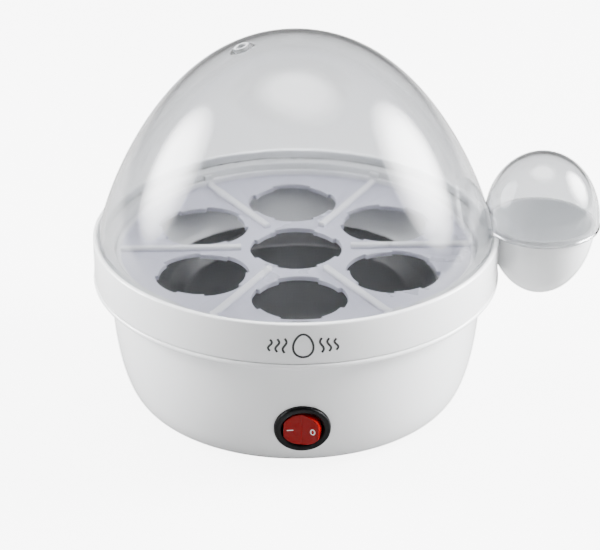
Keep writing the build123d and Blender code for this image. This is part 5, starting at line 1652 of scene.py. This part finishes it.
# %% Floor
FLOOR_HALF = 6.0            # metres
FLOOR_GREY = 0.30
FLOOR_ROUGH = 0.9
FLOOR_GLOW = 6.5            # strength of the glow, which only the camera sees
half = FLOOR_HALF
floor_mesh = bpy.data.meshes.new("floor")
floor_corners = [(-half, -half, 0), (half, -half, 0), (half, half, 0), (-half, half, 0)]
floor_mesh.from_pydata(floor_corners, [], [(0, 1, 2, 3)])
floor = new_object("floor", floor_mesh)
floor_paint = bpy.data.materials.new("floor paint")
floor_paint.use_nodes = True
floor_tree = floor_paint.node_tree
floor_shader = floor_tree.nodes["Principled BSDF"]
floor_shader.inputs["Base Color"].default_value = (FLOOR_GREY, FLOOR_GREY, FLOOR_GREY, 1.0)
floor_shader.inputs["Roughness"].default_value = FLOOR_ROUGH
floor_shader.inputs["Emission Color"].default_value = (1.0, 1.0, 1.0, 1.0)
seen = add(floor_tree, "ShaderNodeLightPath").outputs["Is Camera Ray"]
floor_tree.links.new(math(floor_tree, "MULTIPLY", seen, FLOOR_GLOW), floor_shader.inputs["Emission Strength"])
floor.data.materials.append(floor_paint)
print("floor", 2 * FLOOR_HALF, "m wide")

# %% [markdown]
# ## Light
# Glossy white plastic shows its light sources more than its own colour, so they are large soft boxes: one on each
# side, a little behind, and one above. A plain area light has a hard edge, which the dome would mirror as a hard
# shape, so each box fades from its middle towards its edge. The world adds a weak even white from all sides.

# %% Light
FADE_FROM, FADE_TO = 0.12, 0.5      # distances from a box's middle, as shares of its width
FADE_STRENGTH = 1.9                 # makes up for the light that the fade takes away
LIGHT_AIM = (0.0, 0.0, 0.08)
WORLD_STRENGTH = 0.32


def soft_box(name, place, size, power):
    """An area light, in metres and watts, that looks at the cooker and fades towards its edges."""
    light = bpy.data.lights.new(name, "AREA")
    light.shape = "RECTANGLE"
    light.size, light.size_y = size
    light.energy = power
    light.use_nodes = True
    tree = light.node_tree
    spot = add(tree, "ShaderNodeNewGeometry").outputs["Parametric"]
    centred = add(tree, "ShaderNodeVectorMath", {0: spot, 1: (0.5, 0.5, 0.0)}, operation="SUBTRACT").outputs[0]
    flat_spot = add(
        tree, "ShaderNodeVectorMath", {0: centred, 1: (1.0, 1.0, 0.0)}, operation="MULTIPLY"
    ).outputs[0]
    away = add(tree, "ShaderNodeVectorMath", {0: flat_spot}, operation="LENGTH").outputs["Value"]
    fade = add(
        tree,
        "ShaderNodeMapRange",
        {"Value": away, "From Min": FADE_FROM, "From Max": FADE_TO, "To Min": FADE_STRENGTH, "To Max": 0.0},
        interpolation_type="SMOOTHSTEP",
    ).outputs["Result"]
    tree.links.new(fade, tree.nodes["Emission"].inputs["Strength"])
    made = bpy.data.objects.new(name, light)
    bpy.context.scene.collection.objects.link(made)
    made.location = place
    made.rotation_euler = (Vector(LIGHT_AIM) - Vector(place)).to_track_quat("-Z", "Y").to_euler()
    print(name, power, "W")


soft_box("right box", (1.00, 0.12, 0.52), (1.0, 1.0), 150)
soft_box("left box", (-1.0, 0.22, 0.50), (0.9, 0.9), 95)
soft_box("top box", (0.05, 0.10, 1.5), (1.6, 1.3), 52)
world = bpy.data.worlds.new("studio")
world.use_nodes = True
background = world.node_tree.nodes["Background"]
background.inputs["Color"].default_value = (1.0, 1.0, 1.0, 1.0)
background.inputs["Strength"].default_value = WORLD_STRENGTH
bpy.context.scene.world = world
